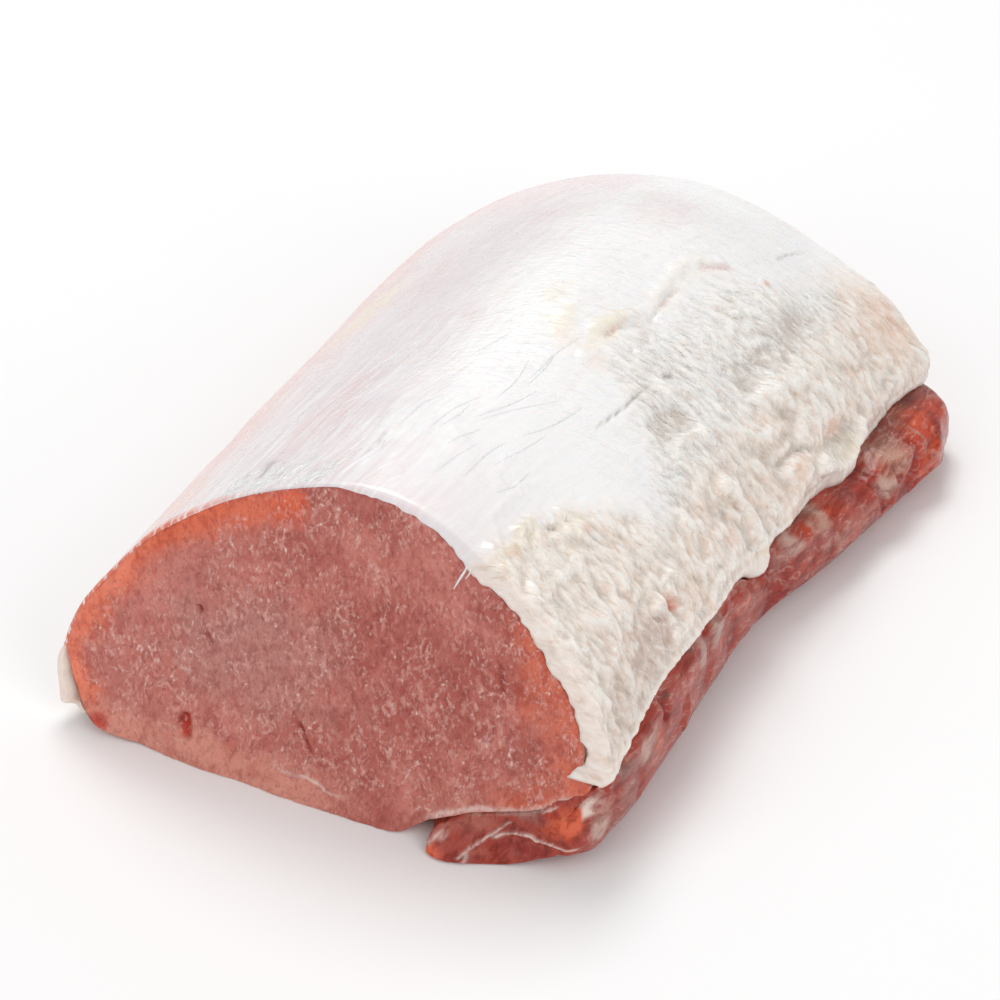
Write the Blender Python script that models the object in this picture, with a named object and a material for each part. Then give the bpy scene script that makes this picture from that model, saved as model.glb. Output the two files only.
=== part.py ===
"""Boneless pork loin: a short roast cut square from the middle of the loin, resting on its underside.

Three tissues run from the front cut to the back cut: the eye muscle, the fat cap that wraps it,
and the side strap, a wedge of darker meat tucked under the eye muscle's right heel.
Frame: +X towards the strap, +Y from the front cut to the back cut, +Z up, with the origin
under the middle of the roast. Lengths are in millimetres, and turn into metres as a point is placed.
"""

import math
from collections import namedtuple

import bmesh
import bpy
from mathutils import Matrix, Vector

MM = 0.001

# Length along the table, and how far the two cuts lean back and turn.
LENGTH = 190.0
FRONT_LEAN, BACK_LEAN = 11.0, 3.0
FRONT_TURN, BACK_TURN = 4.0, 0.0

# Sections stand evenly along the roast, with extra ones close to each cut.
MIDDLE_SECTIONS = 15
END_SHARES = (0.0, 0.012, 0.035)

# Eye muscle: reach to the left and right and height of the crown, at even steps from front to back.
LEFT_REACH = (64.8, 68.2, 69.8, 73.2, 77.2)
RIGHT_REACH = (58.8, 55.5, 54.3, 55.6, 57.2)
CROWN_HEIGHT = (72.8, 70.8, 72.0, 69.0, 51.0)

# Outline of the eye muscle, clockwise from the left of its underside. Across is a share of the
# half width, up a share of the crown's height, and cover the thickness of the fat cap there.
Knot = namedtuple("Knot", "across up cover")
EYE_KNOTS = (
    Knot(-0.600, 0.000, 0.0),
    Knot(-0.830, 0.022, 0.0),
    Knot(-0.945, 0.095, 2.8),  # left heel, where the cap ends in a bead
    Knot(-1.000, 0.225, 1.5),
    Knot(-0.965, 0.375, 1.0),  # left flank, under silverskin
    Knot(-0.850, 0.520, 1.0),
    Knot(-0.660, 0.705, 1.0),
    Knot(-0.400, 0.865, 1.1),
    Knot(-0.130, 0.965, 1.2),
    Knot(0.100, 0.998, 1.5),  # crown
    Knot(0.345, 0.940, 2.2),
    Knot(0.600, 0.790, 3.2),  # right shoulder
    Knot(0.790, 0.635, 4.0),
    Knot(0.925, 0.455, 4.4),
    Knot(0.990, 0.325, 4.2),  # rim of the fat cap
    Knot(0.985, 0.250, 0.0),
    Knot(0.880, 0.200, 0.0),  # right heel, roof of the strap
    Knot(0.680, 0.128, 0.0),
    Knot(0.440, 0.040, 0.0),
    Knot(0.300, 0.000, 0.0),
    Knot(-0.150, 0.000, 0.0),
)
STEPS_PER_KNOT = 3
BEAD_KNOT, RIM_KNOT = 2, 14
ROOF_KNOT, TIP_KNOT = 15, 18

# Gap between neighbouring tissues, which touch in the real roast.
TISSUE_GAP = 0.35

# Fat cap: how its surface swells and how its rim and bead bulge. The rim hangs lower in waves.
SWELL_SHARE, SWELL_ALONG, SWELL_ACROSS = 0.22, 74.0, 88.0
RIM_DROP, RIM_WAVE, RIM_WAVE_LENGTH = 2.6, 1.2, 47.0
BEAD_DROP = 4.0
LIP_TURNS = (45.0, 90.0, 135.0)

# Side strap: how far it bulges from the middle line, at even steps from front to back.
STRAP_REACH = (62.0, 61.8, 60.8, 59.2, 59.2, 64.8, 68.4, 71.8, 70.4)
STRAP_ROOF_GAP = 1.0
STRAP_SIDE = ((-2.5, 0.93), (-0.3, 0.72), (0.0, 0.45), (-2.2, 0.17), (-7.0, 0.0))
STRAP_CORNER_ROUNDING, STRAP_CORNER_SHARE = 13.0, 0.06

# The front cut's foot pushes forward a little, most of all to the right, where the meat spreads.
FOOT_PUSH, FOOT_HEIGHT, FOOT_SHARE = 4.5, 20.0, 0.10
FOOT_MIDDLE, FOOT_HALF_WIDTH = 22.0, 82.0

SHARP_ANGLE = 40.0

Tissue = namedtuple("Tissue", "colour roughness")
LEAN = Tissue((0.62, 0.25, 0.20, 1.0), 0.40)
FAT = Tissue((0.90, 0.84, 0.79, 1.0), 0.35)
DARK_LEAN = Tissue((0.45, 0.13, 0.10, 1.0), 0.38)


def smooth_between(before, start, end, after, t):
    """Value at t, from 0 to 1, on the smooth curve from start to end."""
    linear = end - before
    square = 2 * before - 5 * start + 4 * end - after
    cube = 3 * start - before - 3 * end + after
    return start + 0.5 * t * (linear + t * (square + t * cube))


def along(values, share):
    """Value at a share of the length, on a smooth curve through values at even steps."""
    padded = (2 * values[0] - values[1], *values, 2 * values[-1] - values[-2])
    place = share * (len(values) - 1)
    i = min(int(place), len(values) - 2)
    return smooth_between(*padded[i : i + 4], place - i)


def round_and_round(values):
    """Smooth closed run through values, with STEPS_PER_KNOT steps from each to the next."""
    count = len(values)
    return [
        smooth_between(*(values[(i + k) % count] for k in (-1, 0, 1, 2)), step / STEPS_PER_KNOT)
        for i in range(count)
        for step in range(STEPS_PER_KNOT)
    ]


EYE_ACROSS = round_and_round([knot.across for knot in EYE_KNOTS])
EYE_UP = round_and_round([knot.up for knot in EYE_KNOTS])
EYE_COVER = round_and_round([knot.cover for knot in EYE_KNOTS])


def eye_section(share):
    """Outline of the eye muscle at a share of the length."""
    left, right = along(LEFT_REACH, share), along(RIGHT_REACH, share)
    height = along(CROWN_HEIGHT, share)
    middle, half = (right - left) / 2, (right + left) / 2
    return [
        Vector((middle + half * across, max(height * up, 0.0)))
        for across, up in zip(EYE_ACROSS, EYE_UP)
    ]


def beside_eye(eye, knots, distances):
    """Points straight out from the eye's outline, from the first of two knots to the last."""
    first, last = (knot * STEPS_PER_KNOT for knot in knots)
    points = []
    for i, distance in zip(range(first, last + 1), distances):
        run = eye[i + 1] - eye[i - 1]
        points.append(eye[i] + Vector((-run.y, run.x)).normalized() * distance)
    return points


def lip(start, end, heading, drop):
    """Points of a round lip from start to end, which bulges by drop along heading."""
    points = []
    for turn in LIP_TURNS:
        angle = math.radians(turn)
        middle = start.lerp(end, (1 - math.cos(angle)) / 2)
        points.append(middle + heading * drop * math.sin(angle))
    return points


def cap_section(share):
    """Outline of the fat cap: along the eye, round the rim, back over the surface, round the bead."""
    eye = eye_section(share)
    knots = (BEAD_KNOT, RIM_KNOT)
    span = (RIM_KNOT - BEAD_KNOT) * STEPS_PER_KNOT
    under = beside_eye(eye, knots, [TISSUE_GAP] * (span + 1))
    y = share * LENGTH
    outer = []
    for i in range(span + 1):
        swell = math.sin((y / SWELL_ALONG + under[i].x / SWELL_ACROSS) * math.tau)
        cover = EYE_COVER[BEAD_KNOT * STEPS_PER_KNOT + i]
        outer.append(TISSUE_GAP + cover * (1 + SWELL_SHARE * swell))
    over = beside_eye(eye, knots, outer)
    rim_drop = RIM_DROP + RIM_WAVE * math.sin(y / RIM_WAVE_LENGTH * math.tau)
    rim = lip(under[-1], over[-1], (under[-1] - under[-2]).normalized(), rim_drop)
    bead = lip(over[0], under[0], (under[0] - under[1]).normalized(), BEAD_DROP)
    return under + rim + over[::-1] + bead


def strap_section(share):
    """Outline of the side strap: its roof under the eye's heel, its foot, and its bulging side."""
    eye = eye_section(share)
    span = (TIP_KNOT - ROOF_KNOT) * STEPS_PER_KNOT
    gaps = [STRAP_ROOF_GAP + (TISSUE_GAP - STRAP_ROOF_GAP) * i / span for i in range(span + 1)]
    roof = beside_eye(eye, (ROOF_KNOT, TIP_KNOT), gaps)
    reach = along(STRAP_REACH, share)
    to_cut = min(share, 1 - share) / STRAP_CORNER_SHARE
    if to_cut < 1:
        reach -= STRAP_CORNER_ROUNDING * (1 - math.sqrt(1 - (1 - to_cut) ** 2))
    side = [Vector((reach + out, roof[0].y * up)) for out, up in STRAP_SIDE]
    tip = Vector((roof[-1].x, 0.0))
    foot = [tip.lerp(side[-1], i / span) for i in range(1, span)]
    return roof + [tip] + foot + side[::-1]


def placed(point, share):
    """Where a point of a section lies, in metres, with the lean and turn of its section."""
    lean = math.radians(FRONT_LEAN + (BACK_LEAN - FRONT_LEAN) * share)
    turn = math.radians(FRONT_TURN + (BACK_TURN - FRONT_TURN) * share)
    y = LENGTH * share + point.y * math.tan(lean) + point.x * math.tan(turn)
    foot = max(0.0, 1 - point.y / FOOT_HEIGHT) * max(0.0, 1 - share / FOOT_SHARE)
    spread = max(0.0, 1 - ((point.x - FOOT_MIDDLE) / FOOT_HALF_WIDTH) ** 2)
    return Vector((point.x, y - FOOT_PUSH * foot * spread, point.y)) * MM


def material_of(name, tissue):
    """A material with the tissue's colour and wetness."""
    material = bpy.data.materials.new(name)
    material.use_nodes = True
    shader = material.node_tree.nodes["Principled BSDF"]
    shader.inputs["Base Color"].default_value = tissue.colour
    shader.inputs["Roughness"].default_value = tissue.roughness
    shader.inputs["Metallic"].default_value = 0.0
    return material


def section_shares():
    """Shares of the length at which sections stand."""
    first, last = END_SHARES[-1], 1 - END_SHARES[-1]
    middle = [first + (last - first) * i / MIDDLE_SECTIONS for i in range(1, MIDDLE_SECTIONS)]
    return list(END_SHARES) + middle + [1 - share for share in reversed(END_SHARES)]


def closed_loop(bm, points):
    """A closed loop of new edges through points."""
    verts = [bm.verts.new(point) for point in points]
    return [bm.edges.new((verts[i - 1], verts[i])) for i in range(len(verts))]


def run_tissue(name, section, tissue):
    """A solid that runs from cut to cut: its sections are bridged, and both cuts are filled."""
    bm = bmesh.new()
    loops = [
        closed_loop(bm, [placed(point, share) for point in section(share)])
        for share in section_shares()
    ]
    for near, far in zip(loops, loops[1:]):
        bmesh.ops.bridge_loops(bm, edges=near + far)
    for cut in (loops[0], loops[-1]):
        bmesh.ops.contextual_create(bm, geom=cut)
    bmesh.ops.recalc_face_normals(bm, faces=bm.faces)
    mesh = bpy.data.meshes.new(name)
    bm.to_mesh(mesh)
    bm.free()
    mesh.materials.append(material_of(name, tissue))
    mesh.shade_smooth()
    mesh.set_sharp_from_angle(angle=math.radians(SHARP_ANGLE))
    solid = bpy.data.objects.new(name, mesh)
    bpy.context.scene.collection.objects.link(solid)
    return solid


def stand_on_origin(solids):
    """Moves the solids together, so that the origin lies under the middle of their box."""
    points = [vert.co for solid in solids for vert in solid.data.vertices]
    low = [min(point[axis] for point in points) for axis in range(3)]
    high = [max(point[axis] for point in points) for axis in range(3)]
    offset = Vector((-(low[0] + high[0]) / 2, -(low[1] + high[1]) / 2, -low[2]))
    for solid in solids:
        solid.data.transform(Matrix.Translation(offset))


def main():
    """Builds the three tissues of the roast."""
    for old in list(bpy.data.objects):
        bpy.data.objects.remove(old)
    stand_on_origin(
        [
            run_tissue("loin_eye", eye_section, LEAN),
            run_tissue("fat_cap", cap_section, FAT),
            run_tissue("side_strap", strap_section, DARK_LEAN),
        ]
    )


main()
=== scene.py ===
"""Looks of the boneless pork loin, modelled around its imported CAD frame.

The roast is one piece of meat in layers: the eye muscle with its two open cuts, the silverskin
and the fat cover that wrap it, and the side strap under its right heel, with fine strands of
membrane on top. Lengths are in millimetres, and turn into metres as a point is placed.
A place on the wrap is given as millimetres up from the rim and millimetres from the front cut.
"""

import logging
import math
from dataclasses import dataclass
from enum import Enum

import bpy
import numpy as np
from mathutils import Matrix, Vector
from mathutils.bvhtree import BVHTree


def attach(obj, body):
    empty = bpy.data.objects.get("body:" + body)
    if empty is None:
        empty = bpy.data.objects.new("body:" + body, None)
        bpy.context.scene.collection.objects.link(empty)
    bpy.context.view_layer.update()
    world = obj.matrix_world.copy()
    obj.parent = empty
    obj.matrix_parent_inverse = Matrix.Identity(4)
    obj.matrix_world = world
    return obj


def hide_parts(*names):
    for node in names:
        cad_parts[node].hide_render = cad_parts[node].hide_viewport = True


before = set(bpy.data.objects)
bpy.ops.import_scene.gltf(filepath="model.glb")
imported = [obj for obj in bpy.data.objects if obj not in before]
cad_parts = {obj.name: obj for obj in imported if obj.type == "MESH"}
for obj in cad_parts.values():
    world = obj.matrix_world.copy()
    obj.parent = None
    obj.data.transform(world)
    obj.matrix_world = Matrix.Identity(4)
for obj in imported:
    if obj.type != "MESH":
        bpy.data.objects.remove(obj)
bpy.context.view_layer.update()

LOG = logging.getLogger("pork_loin")
MM = 0.001
# millimetres that a unit of the wrap's UV map stands for
UV_UNIT = 200.0

Array = np.ndarray
Piece = bpy.types.Object
Material = bpy.types.Material
Socket = bpy.types.NodeSocket
Pair = tuple[float, float]
Colour = tuple[float, float, float]


# ---- numbers and noise


def ease(low: float, high: float, value: Array) -> Array:
    """Smooth climb from 0 at low to 1 at high.

    Args:
        low: value where the climb starts.
        high: value where it ends; it may be lower than low, for a fall.
        value: numbers to weigh.

    Returns:
        Weights from 0 to 1.
    """
    share = np.clip((value - low) / (high - low), 0.0, 1.0)
    return share * share * (3.0 - 2.0 * share)


def smooth_path(knots: Array, steps: int) -> Array:
    """Smooth run through knots.

    Args:
        knots: points in any number of dimensions, one per row.
        steps: points made for each knot but the last.

    Returns:
        The points of the run, one per row.
    """
    knots = np.asarray(knots, float)
    padded = np.vstack([2 * knots[0] - knots[1], knots, 2 * knots[-1] - knots[-2]])
    place = np.linspace(0, len(knots) - 1, steps * (len(knots) - 1) + 1)
    return blend_knots(padded, place)


def blend_knots(padded: Array, place: Array) -> Array:
    """Values on the smooth run through padded knots.

    Args:
        padded: knots with one extra before the first and after the last.
        place: places along the run, 0 at the first real knot and 1 more at each next.

    Returns:
        One row of values for each place.
    """
    i = np.clip(place.astype(int), 0, len(padded) - 4)
    t = (place - i).reshape(-1, *([1] * (padded.ndim - 1)))
    before, start, end, after = (padded[i + k] for k in range(4))
    square = 2 * before - 5 * start + 4 * end - after
    cube = 3 * start - before - 3 * end + after
    return start + 0.5 * t * (end - before + t * (square + t * cube))


def softened(rows: Array, reach: float, axis: int) -> Array:
    """Values averaged with their neighbours.

    Args:
        rows: values to soften.
        reach: how far the averaging reaches, in steps.
        axis: axis along which it runs.

    Returns:
        Softened values in the same layout.
    """
    radius = max(1, int(math.ceil(reach * 2.5)))
    weights = np.exp(-0.5 * (np.arange(-radius, radius + 1) / reach) ** 2)
    weights /= weights.sum()
    pad = [(0, 0)] * rows.ndim
    pad[axis] = (radius, radius)
    padded = np.pad(rows, pad, mode="reflect", reflect_type="odd")
    count = rows.shape[axis]
    total = np.zeros_like(rows)
    for k, weight in enumerate(weights):
        total += weight * np.take(padded, np.arange(k, k + count), axis=axis)
    return total


def looked_up(rows: tuple, at: Array, column: int = 1) -> Array:
    """Values from a table, between its rows.

    Args:
        rows: the table, with the place that a row holds for as its first number.
        at: places to look up.
        column: which of a row's numbers to read.

    Returns:
        One value for each place.
    """
    knots = np.array(rows, float).T
    return np.interp(at, knots[0], knots[column])


def run_along(points: Array) -> Array:
    """Distances along a line of points from its first."""
    return np.concatenate([[0], np.cumsum(np.hypot(*np.diff(points, axis=0).T))])


def on_line(steps: Array, run: Array, points: Array) -> Array:
    """Places on a line of points at steps of its run."""
    return np.column_stack([np.interp(steps, run, points[:, k]) for k in (0, 1)])


class Noise:
    """A smooth random field in space, the same on every run."""

    CELLS = 256

    def __init__(self, seed: int) -> None:
        """Draws the field's tables.

        Args:
            seed: number that the field grows from.
        """
        rng = np.random.default_rng(seed)
        self.order = rng.permutation(self.CELLS)
        headings = rng.normal(size=(self.CELLS, 3))
        self.headings = headings / np.linalg.norm(headings, axis=1, keepdims=True)

    def plain(self, spots: Array) -> Array:
        """One layer of the field.

        Args:
            spots: places in cells of the field, two or three columns.

        Returns:
            Values of about -1 to 1.
        """
        if spots.shape[1] == 2:
            spots = np.column_stack([spots, np.full(len(spots), 0.37)])
        base = np.floor(spots).astype(int)
        local = spots - base
        eased = local**3 * (local * (local * 6 - 15) + 10)
        total = np.zeros(len(spots))
        for corner in np.ndindex(2, 2, 2):
            cell = (base + corner) % self.CELLS
            pick = (self.order[cell[:, 0]] + cell[:, 1]) % self.CELLS
            pick = (self.order[pick] + cell[:, 2]) % self.CELLS
            heading = self.headings[self.order[pick]]
            share = np.prod(np.where(corner, eased, 1 - eased), axis=1)
            total += share * np.einsum("ij,ij->i", heading, local - corner)
        return total * 1.7

    def layers(self, spots: Array, size: float | tuple, count: int = 3, gain: float = 0.5) -> Array:
        """Several layers of the field, each finer and weaker than the last.

        Args:
            spots: places.
            size: size of the largest lumps, the same in all directions or one for each.
            count: number of layers.
            gain: strength of each layer against the one before.

        Returns:
            Values of about -1 to 1.
        """
        scaled = spots / np.asarray(size, float)
        total = np.zeros(len(spots))
        strength, whole = 1.0, 0.0
        for k in range(count):
            total += strength * self.plain(scaled * 2.03**k + 19.7 * k)
            whole += strength
            strength *= gain
        return total / whole * 1.4

    def folds(self, spots: Array, size: float | tuple, count: int = 3, gain: float = 0.5) -> Array:
        """Round swellings parted by sharp valleys.

        Args:
            spots: places.
            size: size of the largest swellings.
            count: number of layers.
            gain: strength of each layer against the one before.

        Returns:
            Values of about -0.5 in a valley to 1 on a swelling.
        """
        scaled = spots / np.asarray(size, float)
        total = np.zeros(len(spots))
        strength, whole = 1.0, 0.0
        for k in range(count):
            total += strength * np.abs(self.plain(scaled * 2.03**k + 11.3 * k))
            whole += strength
            strength *= gain
        return total / whole * 3.2 - 0.7


# ---- where the tissues lie


@dataclass(frozen=True)
class Sections:
    """How the roast's cross sections stand, from the front cut to the back cut."""

    length: float = 190.0
    middle: float = 3.464
    start: float = -93.99
    front_lean: float = 11.0
    back_lean: float = 3.0
    front_turn: float = 4.0
    foot_push: float = 4.5
    foot_height: float = 20.0
    foot_share: float = 0.10
    foot_middle: float = 25.464
    foot_half_width: float = 82.0
    # how far the front cut's lowest part stands forward, at places across, beyond the CAD's
    toe: tuple[Pair, ...] = (
        (-60, 3.2), (-54, 3.4), (-49, 1.4), (-43, 0.0), (24, 0.0), (30, 3.4), (35, 4.0), (40, 2.4),
        (46, 0.2), (52, -0.8), (64, -0.8),
    )
    toe_height: float = 9.0

    def slopes(self, share: Array) -> tuple[Array, Array]:
        """Slopes of a section.

        Args:
            share: shares of the length.

        Returns:
            How far a section goes back for each millimetre up, and for each millimetre across.
        """
        lean = np.radians(self.front_lean + (self.back_lean - self.front_lean) * share)
        turn = np.radians(self.front_turn * (1 - share))
        return np.tan(lean), np.tan(turn)

    def foot(self, across: Array, up: Array, share: Array) -> Array:
        """How far the front cut's foot pushes forward.

        Args:
            across: places across the roast.
            up: heights.
            share: shares of the length.

        Returns:
            Millimetres forward.
        """
        low = np.clip(1 - up / self.foot_height, 0, None) * np.clip(1 - share / self.foot_share, 0, None)
        spread = 1 - ((across - self.foot_middle) / self.foot_half_width) ** 2
        toe = looked_up(self.toe, across) * ease(self.toe_height, 0.0, up)
        return self.foot_push * low * np.clip(spread, 0, None) + toe * ease(20, 3, share * self.length)

    def heel_lift(self, across: Array, share: Array) -> Array:
        """How much higher the eye muscle and the strap meet near the front cut than on the CAD.

        Args:
            across: places across the roast.
            share: shares of the length.

        Returns:
            Millimetres.
        """
        lift = np.interp(across, (22, 28, 36, 43, 52, 60, 64), (0, 2.3, 2.1, 1.4, 0.6, 1.1, 0.8))
        return lift * ease(16, 4, share * self.length)

    def placed(self, across: Array, up: Array, share: Array) -> Array:
        """Points of the sections.

        Args:
            across: places across the roast.
            up: heights.
            share: shares of the length.

        Returns:
            Points in metres, with the three coordinates on the last axis.
        """
        lean, turn = self.slopes(share)
        back = self.start + self.length * share + up * lean + (across - self.middle) * turn
        back = back - self.foot(across, up, share)
        return np.stack(np.broadcast_arrays(across, back, up), axis=-1) * MM


SECTIONS = Sections()


class Probe:
    """Finds the outline of a CAD node's sections by feeling for it from outside."""

    FAR = 0.2

    def __init__(self, node: str) -> None:
        """Takes the node's surface.

        Args:
            node: name of the CAD node.
        """
        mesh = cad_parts[node].data
        mesh.calc_loop_triangles()
        corners = [vert.co.copy() for vert in mesh.vertices]
        self.tree = BVHTree.FromPolygons(corners, [tuple(t.vertices) for t in mesh.loop_triangles])

    def outline(self, share: float, centre: Pair, angles: Array) -> Array:
        """Outline of one section.

        Args:
            share: share of the length.
            centre: place across and height that the feeling goes towards.
            angles: directions from the centre, in degrees.

        Returns:
            Place across and height at each angle in millimetres, not a number where nothing is felt.
        """
        share = min(max(share, 0.002), 0.998)
        lean, turn = (float(v) for v in SECTIONS.slopes(np.array(share)))
        across, up = centre
        back = SECTIONS.start + SECTIONS.length * share + up * lean + (across - SECTIONS.middle) * turn
        middle = Vector((across, back, up)) * MM
        spots = np.full((len(angles), 2), np.nan)
        for i, angle in enumerate(np.radians(angles)):
            out, rise = math.cos(angle), math.sin(angle)
            away = Vector((out, out * turn + rise * lean, rise)).normalized()
            found = self.tree.ray_cast(middle + away * self.FAR, -away, self.FAR)[0]
            if found is not None:
                spots[i] = found.x / MM, found.z / MM
        return spots


class Wrap:
    """Outer face of the fat cap, looked up on its CAD node."""

    ROWS, COLUMNS = 25, 45
    CENTRE = (0.0, 15.0)
    FEEL = np.arange(-20.0, 212.0, 0.5)
    # thickness of the cap, from the rim to the bead, at shares of its girth
    COVER_AT = (0.0, 0.06, 0.14, 0.24, 0.34, 0.44, 0.54, 0.68, 0.90, 0.95, 1.0)
    COVER = (4.2, 4.4, 4.0, 3.2, 2.2, 1.5, 1.2, 1.0, 1.0, 1.5, 2.8)

    def __init__(self) -> None:
        """Feels for the cap's outlines and keeps them as a net of smooth curves."""
        probe = Probe("fat_cap")
        dense = np.linspace(0, 1, 3 * (self.ROWS - 1) + 1)
        lines, girths = [], []
        for share in dense:
            spots = probe.outline(share, self.CENTRE, self.FEEL)
            spots = spots[~np.isnan(spots[:, 0])]
            spots = softened(spots, 3.0, 0)
            run = run_along(spots)
            even = np.linspace(0, run[-1], 4 * (self.COLUMNS - 1) + 1)
            lines.append(on_line(even, run, spots))
            girths.append(run[-1])
        net = softened(softened(np.array(lines), 2.5, 1), 1.6, 0)
        girths = softened(np.array(girths), 2.0, 0)
        self.net = np.pad(net[::3, ::4], ((1, 1), (1, 1), (0, 0)), mode="reflect", reflect_type="odd")
        self.girths = np.pad(girths[::3], (1, 1), mode="reflect", reflect_type="odd")

    def girth(self, share: Array) -> Array:
        """Distance over the cap from its rim to its bead.

        Args:
            share: shares of the length.

        Returns:
            Millimetres.
        """
        flat = np.ravel(share)
        return blend_knots(self.girths, flat * (self.ROWS - 1)).reshape(np.shape(share))

    def outline(self, up_from_rim: Array, share: Array) -> Array:
        """Section points of the face.

        Args:
            up_from_rim: millimetres up from the rim, in rows that follow share.
            share: share of the length of each row.

        Returns:
            Place across and height in millimetres, on the last axis.
        """
        rows = blend_knots(self.net, share * (self.ROWS - 1))
        girth = self.girth(share)
        lines = []
        for row, whole, up in zip(rows, girth, up_from_rim):
            lines.append(blend_knots(row, np.clip(up / whole, 0, 1) * (self.COLUMNS - 1)))
        return np.array(lines)

    def cover(self, up_from_rim: Array, share: Array) -> Array:
        """Thickness of the cap.

        Args:
            up_from_rim: millimetres up from the rim, in rows that follow share.
            share: share of the length of each row.

        Returns:
            Millimetres.
        """
        return np.interp(up_from_rim / self.girth(share)[:, None], self.COVER_AT, self.COVER)


# ---- sculpting


class Pull(Enum):
    """What a pull of the sculpting tool leaves."""

    RIDGE = "ridge"
    FOLD = "fold"


@dataclass(frozen=True)
class Stroke:
    """One pull of the sculpting tool along a path."""

    path: tuple[Pair, ...]
    width: float
    height: float
    ragged: float
    fade: float
    pull: Pull = Pull.RIDGE

    STEPS = 5
    WANDER_SIZE = 3.5
    # how sharp a fold's crest is, and at how many widths from the path a pull no longer shows
    FOLD_POWER = 1.6
    WIDTHS = 3.2

    def nearest(self, spots: Array) -> tuple[Array, Array]:
        """How spots lie to the path.

        Args:
            spots: places, two columns.

        Returns:
            Distances, and shares along the path.
        """
        line = smooth_path(np.array(self.path), self.STEPS)
        best, along = np.full(len(spots), np.inf), np.zeros(len(spots))
        for k, (start, end) in enumerate(zip(line, line[1:])):
            run = end - start
            t = np.clip((spots - start) @ run / (run @ run), 0, 1)
            gap = spots - (start + t[:, None] * run)
            far = (gap**2).sum(axis=1)
            closer = far < best
            best = np.where(closer, far, best)
            along = np.where(closer, (k + t) / (len(line) - 1), along)
        return np.sqrt(best), along

    def lift(self, spots: Array, wander: Array) -> Array:
        """How far the stroke lifts the surface.

        Args:
            spots: places, two columns.
            wander: how far each spot is shifted before it is measured, as shares of ragged.

        Returns:
            Millimetres up; down where the height is negative.
        """
        reach = self.WIDTHS * self.width + 2 * self.ragged
        line = np.array(self.path)
        low, high = line.min(axis=0) - reach, line.max(axis=0) + reach
        near = np.all((spots > low) & (spots < high), axis=1)
        lifted = np.zeros(len(spots))
        if not near.any():
            return lifted
        far, along = self.nearest(spots[near] + self.ragged * wander[near])
        share = far / self.width
        if self.pull is Pull.RIDGE:
            shape = np.exp(-(share**2))
        else:
            shape = np.clip(1 - share, 0, 1) ** self.FOLD_POWER
        if self.fade > 0:
            shape = shape * ease(0, self.fade, along) * ease(1, 1 - self.fade, along)
        lifted[near] = self.height * shape
        return lifted


def sculpt(strokes: tuple[Stroke, ...], spots: Array, noise: Noise) -> Array:
    """Lift of many strokes together.

    Args:
        strokes: the strokes.
        spots: places, two columns.
        noise: field that makes the strokes ragged.

    Returns:
        Millimetres up.
    """
    wander = np.column_stack(
        [noise.layers(spots + shift, Stroke.WANDER_SIZE, 3, 0.6) for shift in (0.0, 71.3)]
    )
    return sum((stroke.lift(spots, wander) for stroke in strokes), np.zeros(len(spots)))


# ---- meshes


def fresh_start() -> None:
    """Leaves nothing selected, so that the next operator acts on its own piece only."""
    bpy.ops.object.select_all(action="DESELECT")


def new_sheet(name: str, across: int, along: int) -> tuple[Piece, Array, Array]:
    """A flat sheet of cells, ready to be laid on a surface.

    Args:
        name: name of the piece.
        across: cells across.
        along: cells along.

    Returns:
        The sheet, and for each vertex its column and its row.
    """
    fresh_start()
    bpy.ops.mesh.primitive_grid_add(x_subdivisions=across, y_subdivisions=along, size=2.0)
    sheet = bpy.context.object
    sheet.name = sheet.data.name = name
    spots = read_points(sheet)
    column = np.rint((spots[:, 0] + 1) / 2 * across).astype(int)
    row = np.rint((spots[:, 1] + 1) / 2 * along).astype(int)
    return sheet, column, row


def new_ball(name: str, around: int, rings: int) -> tuple[Piece, Array, Array]:
    """A ball of rings between two closed poles, ready to be drawn out into a log.

    Args:
        name: name of the piece.
        around: points on each ring.
        rings: steps from pole to pole.

    Returns:
        The ball, and for each vertex its spoke and its ring.
    """
    fresh_start()
    bpy.ops.mesh.primitive_uv_sphere_add(segments=around, ring_count=rings, radius=1.0)
    ball = bpy.context.object
    ball.name = ball.data.name = name
    spots = read_points(ball)
    ring = np.rint(np.arccos(np.clip(spots[:, 2], -1, 1)) / math.pi * rings).astype(int)
    turn = np.arctan2(spots[:, 1], spots[:, 0]) / math.tau
    spoke = np.rint(turn * around).astype(int) % around
    return ball, spoke, ring


def read_points(piece: Piece) -> Array:
    """A piece's vertices, in metres, one per row."""
    flat = np.empty(len(piece.data.vertices) * 3)
    piece.data.vertices.foreach_get("co", flat)
    return flat.reshape(-1, 3)


def write_points(piece: Piece, points: Array) -> None:
    """Moves a piece's vertices to points in metres, one per row."""
    piece.data.vertices.foreach_set("co", np.ascontiguousarray(points, dtype=np.float32).ravel())
    piece.data.update()


def paint(piece: Piece, name: str, values: Array) -> None:
    """Keeps one number for each vertex under a name, for the finishes to read."""
    layer = piece.data.attributes.new(name, "FLOAT", "POINT")
    layer.data.foreach_set("value", np.ascontiguousarray(values, dtype=np.float32))


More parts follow.
